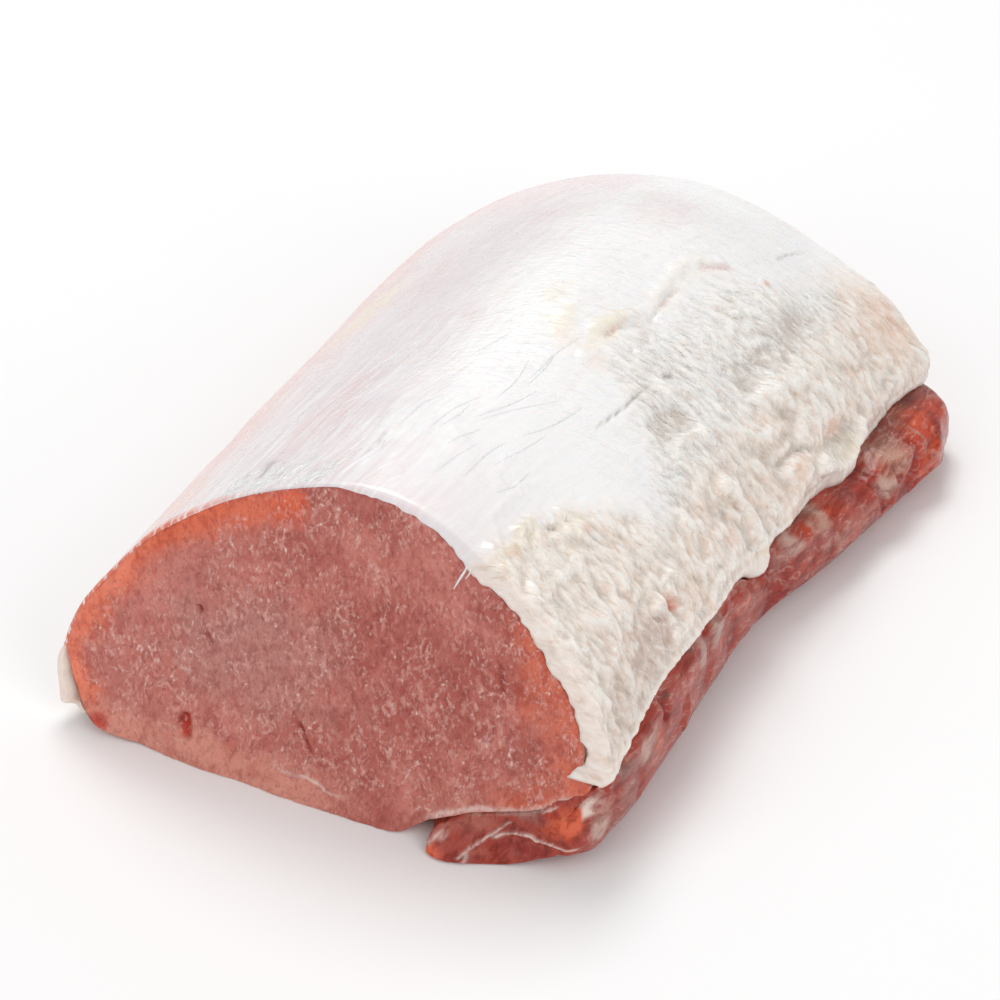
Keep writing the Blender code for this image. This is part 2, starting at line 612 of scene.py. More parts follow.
class Tint(Enum):
    """Colours of the raw meat, as linear red, green and blue; some of them are laid as painted shade or
    painted highlights.
    """

    ROSE = (0.49, 0.128, 0.098)
    ROSE_LIGHT = (0.63, 0.212, 0.168)
    ROSE_GREY = (0.50, 0.205, 0.17)
    DEEP = (0.40, 0.075, 0.05)
    ORANGE = (0.78, 0.160, 0.070)
    ORANGE_LIGHT = (0.91, 0.26, 0.155)
    FLAME = (0.74, 0.115, 0.045)
    PEACH = (0.72, 0.30, 0.225)
    # dark red; in the front cut's slits and the low places of the strap's side it is partly painted shade
    DARK_RED = (0.32, 0.02, 0.01)
    MEMBRANE = (0.80, 0.62, 0.56)
    CRIMSON = (0.34, 0.042, 0.028)
    DUSTY = (0.43, 0.110, 0.076)
    RUST = (0.50, 0.062, 0.022)
    # painted shade, for crevices and a hole on the strap's side
    SHADE = (0.12, 0.045, 0.03)
    BEIGE = (0.55, 0.33, 0.245)
    VEIL = (0.55, 0.385, 0.325)
    SKIN = (0.82, 0.755, 0.765)
    SKIN_PINK = (0.84, 0.66, 0.67)
    SKIN_EDGE = (0.84, 0.52, 0.47)
    CROWN = (0.90, 0.885, 0.88)
    FAT_WHITE = (0.90, 0.885, 0.87)
    FAT_CREAM = (0.90, 0.79, 0.70)
    FAT_PEACH = (0.84, 0.66, 0.55)
    FAT_YELLOW = (0.88, 0.79, 0.62)
    # cream of the fat's crests, also laid as a painted highlight on the tops of the relief and on the rim's
    # lip
    FAT_CREST = (0.92, 0.86, 0.79)
    # painted shade for the fat's hollows, dips and lower wall
    FAT_SHADE = (0.62, 0.56, 0.50)
    # painted highlight on the fat's finest crests
    FAT_SHINE = (0.94, 0.91, 0.87)
    FAT_BLUSH = (0.78, 0.42, 0.31)
    FAT_ROLL = (0.88, 0.76, 0.69)
    # painted shade for a crease on the far ridge and for the wall near the front
    FAT_DEEP_SHADE = (0.58, 0.43, 0.36)
    STRAND = (0.46, 0.42, 0.40)
    FIBRE = (0.93, 0.91, 0.90)
    STRAP = (0.41, 0.060, 0.036)
    LILAC = (0.36, 0.135, 0.11)
    # dark grey, laid on the strap's side as painted shade in its crevices
    ASH = (0.25, 0.155, 0.125)
    PIT = (0.55, 0.045, 0.015)


@dataclass(frozen=True)
class Patch:
    """A soft-edged patch of one colour."""

    tint: Tint
    spot: Pair
    size: Pair
    weight: float
    turn: float = 0.0

    def strength(self, spots: Array, wander: Array) -> Array:
        """How strongly the patch colours spots.

        Args:
            spots: places, two columns.
            wander: random values that make its edge ragged.

        Returns:
            Weights from 0 to 1.
        """
        gap = spots - np.array(self.spot)
        turn = math.radians(self.turn)
        first = gap[:, 0] * math.cos(turn) + gap[:, 1] * math.sin(turn)
        second = gap[:, 1] * math.cos(turn) - gap[:, 0] * math.sin(turn)
        far = np.hypot(first / self.size[0], second / self.size[1]) + 0.45 * wander
        return self.weight * ease(1.0, 0.3, far)


def patch_table(*rows: tuple) -> tuple[Patch, ...]:
    """Patches from a table.

    Args:
        rows: for each patch its colour, its place, its size, its weight and, if it is turned, its turn.

    Returns:
        The patches, in the table's order.
    """
    return tuple(Patch(tint, (a, b), (c, d), *rest) for tint, a, b, c, d, *rest in rows)


class Paint:
    """Colours laid over one another on a piece's vertices."""

    def __init__(self, count: int, base: Tint) -> None:
        """Starts with one colour all over.

        Args:
            count: number of vertices.
            base: the colour.
        """
        self.tone = np.tile(np.array(base.value, float), (count, 1))

    def lay(self, tint: Tint, weight: Array) -> None:
        """Lays a colour over what is there, as strongly as the weights say."""
        self.tone += np.clip(weight, 0, 1)[:, None] * (np.array(tint.value) - self.tone)

    def keep(self, piece: Piece) -> None:
        """Keeps the colours on the piece, for its finish to read.

        Args:
            piece: the piece.
        """
        layer = piece.data.color_attributes.new("tone", "FLOAT_COLOR", "POINT")
        rows = np.column_stack([self.tone, np.ones(len(self.tone))])
        layer.data.foreach_set("color", rows.astype(np.float32).ravel())


def point_outwards(piece: Piece) -> None:
    """Turns all faces of a closed piece outwards and shades it smooth.

    Args:
        piece: the piece.
    """
    fresh_start()
    piece.select_set(True)
    bpy.context.view_layer.objects.active = piece
    bpy.ops.object.mode_set(mode="EDIT")
    bpy.ops.mesh.select_all(action="SELECT")
    bpy.ops.mesh.normals_make_consistent(inside=False)
    bpy.ops.object.mode_set(mode="OBJECT")
    bpy.ops.object.shade_smooth()


def hand_over(piece: Piece, material: Material, nodes: tuple) -> None:
    """Gives a finished piece its finish and its place in the frame.

    Args:
        piece: the piece.
        material: its finish.
        nodes: CAD nodes that it stands for, if any.
    """
    piece.data.materials.clear()
    piece.data.materials.append(material)
    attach(piece, "root")
    if nodes:
        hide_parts(*nodes)
    piece.data.calc_loop_triangles()
    LOG.info("%s: %d triangles", piece.name, len(piece.data.loop_triangles))


# ---- finishes


class Graph:
    """A material's nodes, put together in plain steps."""

    def __init__(self, name: str) -> None:
        """Makes the material.

        Args:
            name: its name.
        """
        self.material = bpy.data.materials.new(name)
        self.material.use_nodes = True
        self.tree = self.material.node_tree
        self.shader = self.tree.nodes["Principled BSDF"]

    def node(self, kind: str, settings: dict, inputs: dict) -> bpy.types.Node:
        """Adds a node.

        Args:
            kind: its type, without the leading ShaderNode.
            settings: its own settings.
            inputs: values or sockets for its inputs, by name or number.

        Returns:
            The node.
        """
        made = self.tree.nodes.new("ShaderNode" + kind)
        for key, value in settings.items():
            setattr(made, key, value)
        for key, value in inputs.items():
            self.plug(made.inputs[key], value)
        return made

    def plug(self, socket: Socket, value: object) -> None:
        """Links a socket to an input, or sets the input's value.

        Args:
            socket: the input.
            value: the socket to link, or the value.
        """
        if isinstance(value, Socket):
            self.tree.links.new(value, socket)
        elif isinstance(value, tuple) and socket.type == "RGBA":
            socket.default_value = (*value[:3], 1.0)
        else:
            socket.default_value = value

    def place(self, size: tuple = (1, 1, 1), turn: tuple = (0, 0, 0)) -> Socket:
        """Place on the piece in millimetres, stretched and turned.

        Args:
            size: length of a unit in millimetres, along each axis after turning.
            turn: turn about the axes in degrees.

        Returns:
            The place's socket.
        """
        spot = self.node("TexCoord", {}, {}).outputs["Object"]
        return self.stretched(spot, tuple(1 / (MM * s) for s in size), turn)

    def lie(self, size: tuple, turn: float = 0.0) -> Socket:
        """Place on the wrap: up from the rim and along the roast, stretched and turned.

        Args:
            size: length of a unit in millimetres, up and along.
            turn: turn in degrees.

        Returns:
            The place's socket.
        """
        spot = self.node("UVMap", {"uv_map": "wrap"}, {}).outputs["UV"]
        return self.stretched(spot, (UV_UNIT / size[0], UV_UNIT / size[1], 1.0), (0, 0, turn))

    def stretched(self, spot: Socket, scale: tuple, turn: tuple) -> Socket:
        """Turns a place and then scales it.

        Args:
            spot: the place's socket.
            scale: scale along each axis.
            turn: turn about the axes in degrees.

        Returns:
            The new place's socket.
        """
        if any(turn):
            angles = tuple(math.radians(t) for t in turn)
            spot = self.node("Mapping", {}, {"Vector": spot, "Rotation": angles}).outputs[0]
        return self.node("Mapping", {}, {"Vector": spot, "Scale": scale}).outputs[0]

    def noise(self, spot: Socket, detail: float = 2.0, rough: float = 0.5, twist: float = 0.0) -> Socket:
        """Cloudy pattern of unit size from 0 to 1."""
        inputs = {"Vector": spot, "Scale": 1.0, "Detail": detail, "Roughness": rough, "Distortion": twist}
        return self.node("TexNoise", {}, inputs).outputs["Fac"]

    def painted(self, name: str) -> Socket:
        """Numbers kept on the piece's vertices."""
        return self.node("Attribute", {"attribute_name": name}, {}).outputs["Fac"]

    def tone(self) -> Socket:
        """Colours kept on the piece's vertices."""
        return self.node("Attribute", {"attribute_name": "tone"}, {}).outputs["Color"]

    def folds(self, spot: Socket, detail: float, twist: float) -> Socket:
        """Round folds of unit size, parted by sharp creases."""
        off = self.maths("ABSOLUTE", self.maths("SUBTRACT", self.noise(spot, detail, 0.55, twist), 0.5))
        return self.maths("POWER", self.times(off, 4.0), 0.7)

    def threads(self, spot: Socket, width: float) -> Socket:
        """Thin curly lines where a cloudy pattern crosses its middle."""
        cloud = self.noise(spot, 1.0, 0.5, 0.25)
        off = self.maths("ABSOLUTE", self.maths("SUBTRACT", cloud, 0.5))
        return self.climb(off, 0.0, width, 1.0, 0.0)

    def climb(self, value: Socket, low: float, high: float, start: float = 0.0, end: float = 1.0) -> Socket:
        """Smooth climb from start to end as the value goes from low to high."""
        inputs = {"Value": value, "From Min": low, "From Max": high, "To Min": start, "To Max": end}
        return self.node("MapRange", {"interpolation_type": "SMOOTHSTEP"}, inputs).outputs[0]

    def maths(self, operation: str, first: object, second: object = 0.0) -> Socket:
        """Result of a sum on two inputs."""
        return self.node("Math", {"operation": operation}, {0: first, 1: second}).outputs[0]

    def times(self, first: object, second: object) -> Socket:
        """Product of two inputs."""
        return self.maths("MULTIPLY", first, second)

    def mix(self, share: object, first: object, second: object, how: str = "MIX") -> Socket:
        """Two colours mixed by a share."""
        inputs = {"Factor": share, 6: first, 7: second}
        return self.node("Mix", {"data_type": "RGBA", "blend_type": how}, inputs).outputs[2]

    def bump(self, height: Socket, depth: float, normal: object = None) -> Socket:
        """Fine relief.

        Args:
            height: how high it stands, from 0 to 1.
            depth: its depth in millimetres.
            normal: another relief that it lies on, if there is one.

        Returns:
            The relief's socket.
        """
        inputs = {"Height": height, "Strength": 1.0, "Distance": depth * MM}
        if normal is not None:
            inputs["Normal"] = normal
        return self.node("Bump", {}, inputs).outputs[0]

    def finish(self, colour: object, normal: object, rough: object, fixed: dict) -> Material:
        """Sets the shader's inputs.

        Args:
            colour: base colour.
            normal: relief.
            rough: roughness.
            fixed: values that are the same all over, by socket name.

        Returns:
            The material.
        """
        self.plug(self.shader.inputs["Base Color"], colour)
        self.plug(self.shader.inputs["Normal"], normal)
        self.plug(self.shader.inputs["Roughness"], rough)
        for name, value in fixed.items():
            self.shader.inputs[name].default_value = value
        return self.material


@dataclass(frozen=True)
class LeanFinish:
    """Moist raw lean with short, curly, pale flecks of fat between its fibres, and painted glints on the
    flecks.
    """

    fleck: Colour = (0.80, 0.43, 0.37)
    glint_highlight: Colour = (0.93, 0.72, 0.66)
    shade: Colour = (0.72, 0.44, 0.42)
    plum: Colour = (0.62, 0.46, 0.50)
    # unit size, turn, width and least cloud of each set of flecks
    sets: tuple = (
        ((2.3, 2.3, 3.8), (0, 8, 0), 0.15, 0.46),
        ((1.8, 1.8, 3.0), (0, -26, 0), 0.12, 0.48),
    )

    def make(self) -> Material:
        """Builds the material.

        Returns:
            The material.
        """
        g = Graph("lean")
        calm = g.painted("calm")
        mottle = g.noise(g.place((2.6, 2.6, 3.8)), 4, 0.65, 0.4)
        tone = g.mix(g.climb(mottle, 0.44, 0.64, 0.0, 0.6), g.tone(), self.shade, "MULTIPLY")
        cluster = g.climb(g.noise(g.place((7, 7, 9)), 2, 0.55), 0.36, 0.62, 0.22, 1.0)
        blobs = g.noise(g.place((1.1, 1.1, 1.9), (0, 10, 0)), 2.5, 0.6, 0.5)
        flecks = g.climb(blobs, 0.55, 0.70, 0.0, 0.9)
        for size, turn, width, low in self.sets:
            line = g.threads(g.place(size, turn), width)
            broken = g.climb(g.noise(g.place((1.2, 1.2, 2.0), turn), 1.5, 0.5), low, low + 0.18)
            flecks = g.maths("MAXIMUM", flecks, g.times(line, broken))
        open_grain = g.maths("SUBTRACT", 1.0, calm)
        flecks = g.times(g.times(flecks, cluster), open_grain)
        fine = g.noise(g.place((0.8, 0.8, 1.3)), 3, 0.65, 0.3)
        tone = g.mix(g.times(flecks, 0.62), tone, self.fleck)
        tone = g.mix(g.climb(fine, 0.50, 0.34, 0.0, 0.55), tone, self.plum, "MULTIPLY")
        # painted highlight: small pale glints laid on the flecks
        glint = g.climb(g.noise(g.place((0.7, 0.7, 1.1)), 1, 0.5), 0.58, 0.72)
        tone = g.mix(g.times(g.times(glint, flecks), 0.7), tone, self.glint_highlight)
        relief = g.bump(flecks, 0.16)
        relief = g.bump(fine, 0.32, relief)
        rough = g.climb(g.noise(g.place((3, 3, 4)), 3, 0.6), 0.35, 0.65, 0.30, 0.50)
        return g.finish(tone, relief, rough, {
            "Subsurface Weight": 0.25, "Subsurface Radius": (1.0, 0.3, 0.2),
            "Subsurface Scale": 0.0008, "Coat Weight": 0.15, "Coat Roughness": 0.18,
            "Specular IOR Level": 0.36,
        })


@dataclass(frozen=True)
class WrapFinish:
    """Creamy, wrinkled fat that thins to glossy, fibrous, pale pink silverskin, with painted shade in the
    fat's creases and painted highlights on its crest lines.
    """

    fibre: Colour = (0.96, 0.95, 0.95)
    gap: Colour = (0.93, 0.83, 0.84)
    light: Colour = (0.96, 0.91, 0.85)
    # dusk: darker tone for random low lumps of the fat, and painted shade in the wrinkles' creases
    dusk: Colour = (0.88, 0.81, 0.76)
    # crest: painted highlight on the crest lines
    crest: Colour = (0.95, 0.92, 0.88)

    def make(self) -> Material:
        """Builds the material.

        Returns:
            The material.
        """
        g = Graph("wrap")
        fat, fibrous = g.painted("fat"), g.painted("fibrous")
        streaks = g.noise(g.lie((1.3, 24), -6), 3, 0.55, 0.25)
        strokes = g.noise(g.lie((0.9, 13), -19), 3, 0.55, 0.3)
        white = g.times(g.climb(streaks, 0.50, 0.68), fibrous)
        pinkish = g.times(g.climb(streaks, 0.50, 0.34), fibrous)
        tone = g.mix(g.times(pinkish, 0.55), g.tone(), self.gap, "MULTIPLY")
        tone = g.mix(g.times(white, 0.65), tone, self.fibre)
        tone = g.mix(g.times(g.climb(strokes, 0.56, 0.70), fibrous), tone, self.fibre)
        lumps = g.noise(g.lie((4.6, 2.6), 28), 4, 0.62, 0.5)
        tone = g.mix(g.times(g.climb(lumps, 0.50, 0.70), g.times(fat, 0.5)), tone, self.light)
        tone = g.mix(g.times(g.climb(lumps, 0.50, 0.32), fat), tone, self.dusk, "MULTIPLY")
        relief = g.bump(g.times(streaks, fibrous), 0.20)
        relief = g.bump(g.times(strokes, fibrous), 0.18, relief)
        wrinkles = g.folds(g.lie((8.0, 2.3), 27), 1, 1.0)
        # painted shade: the wrinkles' creases are darkened as well as sunk
        crease_shade = g.times(g.climb(wrinkles, 0.30, 0.0), fat)
        tone = g.mix(g.times(crease_shade, 0.3), tone, self.dusk, "MULTIPLY")
        relief = g.bump(g.times(wrinkles, g.painted("wrinkled")), 0.26, relief)
        long_crests = g.threads(g.lie((9.0, 1.7), 27), 0.10)
        crests = g.maths("MAXIMUM", long_crests, g.threads(g.lie((5.5, 1.1), 33), 0.09))
        crests = g.times(crests, g.climb(g.noise(g.lie((3.4, 2.0), 20), 2), 0.42, 0.60))
        crests = g.times(crests, g.painted("wrinkled"))
        # painted highlight: the crest lines are lightened as well as raised
        tone = g.mix(g.times(crests, 0.55), tone, self.crest)
        relief = g.bump(crests, 0.14, relief)
        grain = g.noise(g.lie((1.5, 1.3), 28), 2, 0.5, 0.4)
        relief = g.bump(g.times(grain, g.climb(fat, 0.0, 1.0, 0.05, 1.0)), 0.14, relief)
        rough = g.climb(g.noise(g.lie((4, 4)), 3, 0.6), 0.35, 0.65, 0.26, 0.42)
        return g.finish(tone, relief, rough, {
            "Subsurface Weight": 0.3, "Subsurface Radius": (1.0, 0.75, 0.6),
            "Subsurface Scale": 0.0008, "Coat Weight": 0.32, "Coat Roughness": 0.18,
            "Specular IOR Level": 0.5,
        })


@dataclass(frozen=True)
class StrapFinish:
    """Wet, darker lean under a thin translucent membrane."""

    dusk: Colour = (0.56, 0.30, 0.26)
    fibre: Colour = (0.62, 0.43, 0.37)
    veil: Colour = (0.58, 0.38, 0.32)

    def make(self) -> Material:
        """Builds the material.

        Returns:
            The material.
        """
        g = Graph("dark_lean")
        veiled = g.painted("veiled")
        grain = g.noise(g.place((1.8, 10, 2.4)), 3, 0.55, 0.6)
        tone = g.mix(g.climb(grain, 0.46, 0.66, 0.0, 0.8), g.tone(), self.dusk, "MULTIPLY")
        pale = g.threads(g.place((1.6, 9, 2.0), (25, 0, 0)), 0.07)
        pale = g.times(g.times(pale, g.climb(grain, 0.5, 0.4)), veiled)
        tone = g.mix(g.times(pale, 0.36), tone, self.fibre)
        veil = g.climb(g.noise(g.place((3.5, 7, 3.5), (20, 0, 0)), 4, 0.6, 0.8), 0.52, 0.70, 0.0, 0.3)
        tone = g.mix(g.times(veil, veiled), tone, self.veil)
        relief = g.bump(grain, 0.30)
        relief = g.bump(veil, 0.20, relief)
        relief = g.bump(g.noise(g.place((1.0, 1.8, 1.0)), 3, 0.6), 0.16, relief)
        rough = g.climb(g.noise(g.place((5, 5, 5)), 3, 0.6), 0.3, 0.7, 0.20, 0.36)
        return g.finish(tone, relief, rough, {
            "Subsurface Weight": 0.2, "Subsurface Radius": (1.0, 0.3, 0.2),
            "Subsurface Scale": 0.0008, "Coat Weight": 0.25, "Coat Roughness": 0.12,
            "Specular IOR Level": 0.26,
        })


@dataclass(frozen=True)
class StrandFinish:
    """Damp, pale strands of membrane and fat."""

    shadow: Colour = (0.86, 0.78, 0.75)

    def make(self) -> Material:
        """Builds the material.

        Returns:
            The material.
        """
        g = Graph("strands")
        cloud = g.noise(g.place((1.2, 1.2, 1.2)), 3, 0.6, 0.5)
        tone = g.mix(g.climb(cloud, 0.45, 0.65, 0.0, 0.8), g.tone(), self.shadow, "MULTIPLY")
        relief = g.bump(g.noise(g.place((0.6, 0.6, 0.6)), 3, 0.6), 0.10)
        return g.finish(tone, relief, g.climb(cloud, 0.3, 0.7, 0.25, 0.45), {
            "Subsurface Weight": 0.3, "Subsurface Radius": (1.0, 0.6, 0.5),
            "Subsurface Scale": 0.0006, "Coat Weight": 0.4, "Coat Roughness": 0.15,
        })


@dataclass(frozen=True)
class FloorFinish:
    """Plain pale floor."""

    white: Colour = (0.93, 0.93, 0.93)

    def make(self) -> Material:
        """Builds the material.

        Returns:
            The material.
        """
        g = Graph("floor")
        even = g.noise(g.place((60, 60, 60)), 2, 0.5)
        tone = g.mix(g.climb(even, 0.3, 0.7, 0.0, 0.1), self.white, (0.90, 0.90, 0.90))
        return g.finish(tone, g.bump(even, 0.02), 0.6, {"Specular IOR Level": 0.2})


# ---- studio


@dataclass
class Studio:
    """Pale floor, soft light from above, and a camera at the photo's angle."""

    azimuth: float = 28.0
    elevation: float = 36.0
    distance: float = 0.70
    target: tuple[float, float, float] = (0.003464, -0.016687, 0.03)
    lens: float = 110.88
    sensor: float = 36.0
    floor_size: float = 8.0
    sky: float = 0.50
    lamps: tuple = (
        ("overhead", (-0.30, 0.40, 1.05), 0.5, 6.0),
        ("right_fill", (0.95, -0.45, 0.70), 0.8, 4.2),
        ("front_fill", (-0.45, -1.00, 0.75), 0.9, 2.5),
    )

    def camera(self) -> None:
        """Stands the camera where the photo was taken from."""
        turn, rise = math.radians(self.azimuth), math.radians(self.elevation)
        back = Vector((math.sin(turn) * math.cos(rise), -math.cos(turn) * math.cos(rise), math.sin(rise)))
        lens = bpy.data.cameras.new("camera")
        lens.lens, lens.sensor_width = self.lens, self.sensor
        lens.clip_start, lens.clip_end = 0.01, 50.0
        camera = bpy.data.objects.new("camera", lens)
        camera.location = Vector(self.target) + back * self.distance
        camera.rotation_mode = "QUATERNION"
        camera.rotation_quaternion = (-back).to_track_quat("-Z", "Y")
        bpy.context.scene.collection.objects.link(camera)
        bpy.context.scene.camera = camera

    def light(self) -> None:
        """Hangs the soft lamps and sets the even light around them."""
        for name, spot, size, power in self.lamps:
            lamp = bpy.data.lights.new(name, "AREA")
            lamp.shape, lamp.size, lamp.energy = "SQUARE", size, power
            stand = bpy.data.objects.new(name, lamp)
            stand.location = spot
            stand.rotation_mode = "QUATERNION"
            stand.rotation_quaternion = (Vector(self.target) - Vector(spot)).to_track_quat("-Z", "Y")
            bpy.context.scene.collection.objects.link(stand)
        world = bpy.data.worlds.new("even_light")
        world.use_nodes = True
        sky = world.node_tree.nodes["Background"]
        sky.inputs["Color"].default_value = (1.0, 1.0, 1.0, 1.0)
        sky.inputs["Strength"].default_value = self.sky
        bpy.context.scene.world = world
        view = bpy.context.scene.view_settings
        view.view_transform, view.look, view.exposure, view.gamma = "Standard", "None", 0.0, 1.0

    def floor(self) -> None:
        """Lays the floor under the roast."""
        fresh_start()
        bpy.ops.mesh.primitive_plane_add(size=self.floor_size, location=(0, 0, 0))
        floor = bpy.context.object
        floor.name = "floor"
        floor.data.materials.append(FloorFinish().make())


# ---- logs of meat


@dataclass
class Log:
    """A log of meat with rounded cut edges, made of rings from the front cut's middle to the back's."""

    # points added on both sides when an outline is averaged over its start
    OVER_START = 12

    around: int
    face_rings: int
    side_rings: int
    back_rings: int
    # radius of the rounded edge, the half width it is set against, and its number of rings
    edge: float
    half_width: float
    round_steps: int

    def new_log(self, name: str) -> tuple[Piece, Array, Array]:
        """The ball that the log is drawn out of, and for each vertex its spoke and its ring."""
        return new_ball(name, self.around, self.face_rings + self.side_rings + self.back_rings)

    def share_of_ring(self) -> tuple[Array, Array]:
        """Where each ring lies.

        Returns:
            For each ring, how far out it lies from the middle, as a share, and its share of the length.
        """
        first, last = self.face_rings, self.face_rings + self.side_rings
        rings, steps, whole = last + self.back_rings, self.round_steps, SECTIONS.length
        out, share = np.ones(rings + 1), np.zeros(rings + 1)
        bend = self.edge / self.half_width
        turn = np.linspace(0, math.pi / 2, steps + 1)
        out[: first - steps + 1] = np.linspace(0, 1 - bend, first - steps + 1)
        out[first - steps : first + 1] = 1 - bend * (1 - np.sin(turn))
        share[first - steps : first + 1] = self.edge / whole * (1 - np.cos(turn))
        share[first : last + 1] = np.linspace(self.edge, whole - self.edge, self.side_rings + 1) / whole
        out[last : last + steps + 1] = 1 - bend * (1 - np.sin(turn[::-1]))
        share[last : last + steps + 1] = 1 - self.edge / whole * (1 - np.cos(turn[::-1]))
        out[last + steps :] = np.linspace(1 - bend, 0, self.back_rings - steps + 1)
        share[last + steps :] = 1.0
        return out, share

    def ends(self, ring: Array) -> tuple[Array, Array]:
        """For each vertex by its ring, 1 on the front cut, and 1 on the back cut."""
        return ring < self.face_rings, ring > self.face_rings + self.side_rings

    def rows_at(self, lines: Array, share: Array) -> tuple[Array, Array]:
        """Outlines at any shares of the length.

        Args:
            lines: outlines at even steps of the length.
            share: the shares.

        Returns:
            The outlines there, and the directions away from the meat at their points.
        """
        padded = np.pad(lines, ((1, 1), (0, 0), (0, 0)), mode="reflect", reflect_type="odd")
        rows = blend_knots(padded, share * (len(lines) - 1))
        run = np.roll(rows, -1, axis=1) - np.roll(rows, 1, axis=1)
        run /= np.linalg.norm(run, axis=2, keepdims=True)
        return rows, np.stack([run[..., 1], -run[..., 0]], axis=-1)


# ---- eye muscle


@dataclass
class EyeMuscle(Log):
    """The lean eye muscle, with open grain on both cuts."""

    around: int = 440
    face_rings: int = 110
    side_rings: int = 44
    back_rings: int = 48
    centre: Pair = (-1.0, 27.0)
    felt_outlines: int = 20
    edge: float = 0.45
    half_width: float = 40.0
    round_steps: int = 5
    growth: float = 0.30
    growth_reach: Pair = (4.0, 12.0)
    growth_limits: Pair = (-4.5, 3.0)
    growth_softness: float = 4.5
    facet_reach: float = 2.2
    patches: tuple[Patch, ...] = patch_table(
        (Tint.FLAME, -12.0, 65.0, 8.0, 5.0, 0.95, 60), (Tint.ORANGE, -20.0, 62.0, 12.0, 5.5, 0.8, 25),
        (Tint.RUST, 45.0, 37.0, 3.0, 10.0, 0.5), (Tint.DEEP, 40.5, 36.0, 1.6, 10.0, 0.45),
        (Tint.DEEP, 6.0, 44.0, 12.0, 10.0, 0.35), (Tint.DEEP, 28.0, 22.0, 14.0, 9.0, 0.35),
        (Tint.ROSE_LIGHT, 22.0, 58.0, 16.0, 9.0, 0.3), (Tint.PEACH, -30.0, 6.0, 16.0, 4.5, 0.7),
        (Tint.DEEP, 34.0, 33.0, 9.0, 12.0, 0.35),
    )
    slits: tuple[Stroke, ...] = (
        Stroke(((-32.4, 11.4), (-31.9, 9.6), (-31.2, 7.6), (-30.5, 5.2)), 0.95, -0.9, 0.2, 0.2),
        Stroke(((-33.8, 9.4), (-32.4, 9.0), (-31.4, 8.8)), 0.7, -0.6, 0.2, 0.25),
        Stroke(((-6.0, 17.2), (-3.8, 14.9), (-2.2, 12.4), (-0.3, 10.2)), 0.42, -0.7, 0.4, 0.25),
        Stroke(((-31.0, 37.3), (-30.1, 34.6)), 0.5, -0.9, 0.3, 0.3),
        Stroke(((-29.0, 31.8), (-27.4, 28.4)), 0.4, -0.5, 0.3, 0.3),
        Stroke(((37.6, 46.0), (39.5, 40.0), (40.6, 35.0)), 0.5, -0.5, 0.5, 0.3),
    )

    def build(self, wrap: Wrap, relief: "WrapRelief", finish: Material) -> None:
        """Models and dresses the eye muscle.

        Args:
            wrap: the cap's outer face.
            relief: relief of that face.
            finish: material.
        """
        ball, spoke, ring = self.new_log("eye_muscle")
        out, share = self.share_of_ring()
        probe = Probe("loin_eye")
        angles = np.arange(self.around) * 360.0 / self.around
        felt = np.linspace(0, 1, self.felt_outlines)
        lines = self.evened(np.array([probe.outline(s, self.centre, angles) for s in felt]))
        rows, outward = self.rows_at(lines, share)
        near, far = self.growth_reach
        grown = np.full(rows.shape[:2], self.growth)
        for end in (0.0, 1.0):
            reach = ease(far, near, np.abs(share - end) * SECTIONS.length)[:, None]
            line = rows[0 if end == 0 else -1]
            grown += reach * (self.grown_to_cover(line, wrap, relief, end) - self.growth)
        rows = rows + outward * (grown * ease(1.5, 6, rows[..., 1]))[..., None]
        heel = ease(0.0, -0.5, outward[..., 1]) * SECTIONS.heel_lift(rows[..., 0], share[:, None])
        rows[..., 1] += heel
        centre = np.array(self.centre)
        spots = centre + out[ring][:, None] * (rows[ring, spoke] - centre)
        spots[:, 1] = np.maximum(spots[:, 1], 0.0)
        across, up = spots.T
        place = SECTIONS.placed(across, up, share[ring])
        front, back = (end.astype(float) for end in self.ends(ring))
        noise = Noise(11)
        lift = self.cut_relief(across, up, noise, front, back)
        place[:, 1] -= lift * MM * (front - back)
        place[:, 2] = np.maximum(place[:, 2], 0.0)
        write_points(ball, place)
        self.colour(ball, across, up, front, back, out[ring], noise)
        point_outwards(ball)
        hand_over(ball, finish, ("loin_eye",))

    def evened(self, lines: Array) -> Array:
        """Spreads each outline's points evenly, and softens its facets.

        Args:
            lines: outlines by angle.

        Returns:
            Outlines with points at even steps of their length.
        """
        even = []
        for line in lines:
            closed = np.vstack([line, line[:1]])
            run = run_along(closed)
            spots = on_line(np.linspace(0, run[-1], self.around + 1)[:-1], run, closed)
            even.append(self.softened_round(spots, self.facet_reach))
        return np.array(even)

    def grown_to_cover(self, line: Array, wrap: Wrap, relief: "WrapRelief", share: float) -> Array:
        """How far the muscle grows so that the cover shows as thin as it is at a cut.

        Args:
            line: the muscle's outline at the cut.
            wrap: the cap's outer face.
            relief: relief of that face.
            share: share of the length, 0 or 1.

        Returns:
            Millimetres outwards for each point of the outline.
        """
        girth = float(wrap.girth(np.array([share]))[0])
        ups = np.linspace(0, girth, 500)
        face = wrap.outline(ups[None], np.array([share]))[0]
        gap = line[:, None] - face[None]
        far = np.hypot(gap[..., 0], gap[..., 1])
        at = far.argmin(axis=1)
        along = np.full(len(line), share * SECTIONS.length)
        shown = relief.depth_at(ups[at], girth, along)
        out = far.min(axis=1) + relief.height(np.column_stack([ups[at], along])) - shown
        beside = (at < 3) | (at > len(ups) - 4)
        out = np.where(beside, self.growth, np.clip(out, *self.growth_limits))
        return self.softened_round(out, self.growth_softness)

    def softened_round(self, values: Array, reach: float) -> Array:
        """Values of a closed outline averaged with their neighbours, over its start too."""
        more = self.OVER_START
        return softened(np.concatenate([values[-more:], values, values[:more]]), reach, 0)[more:-more]

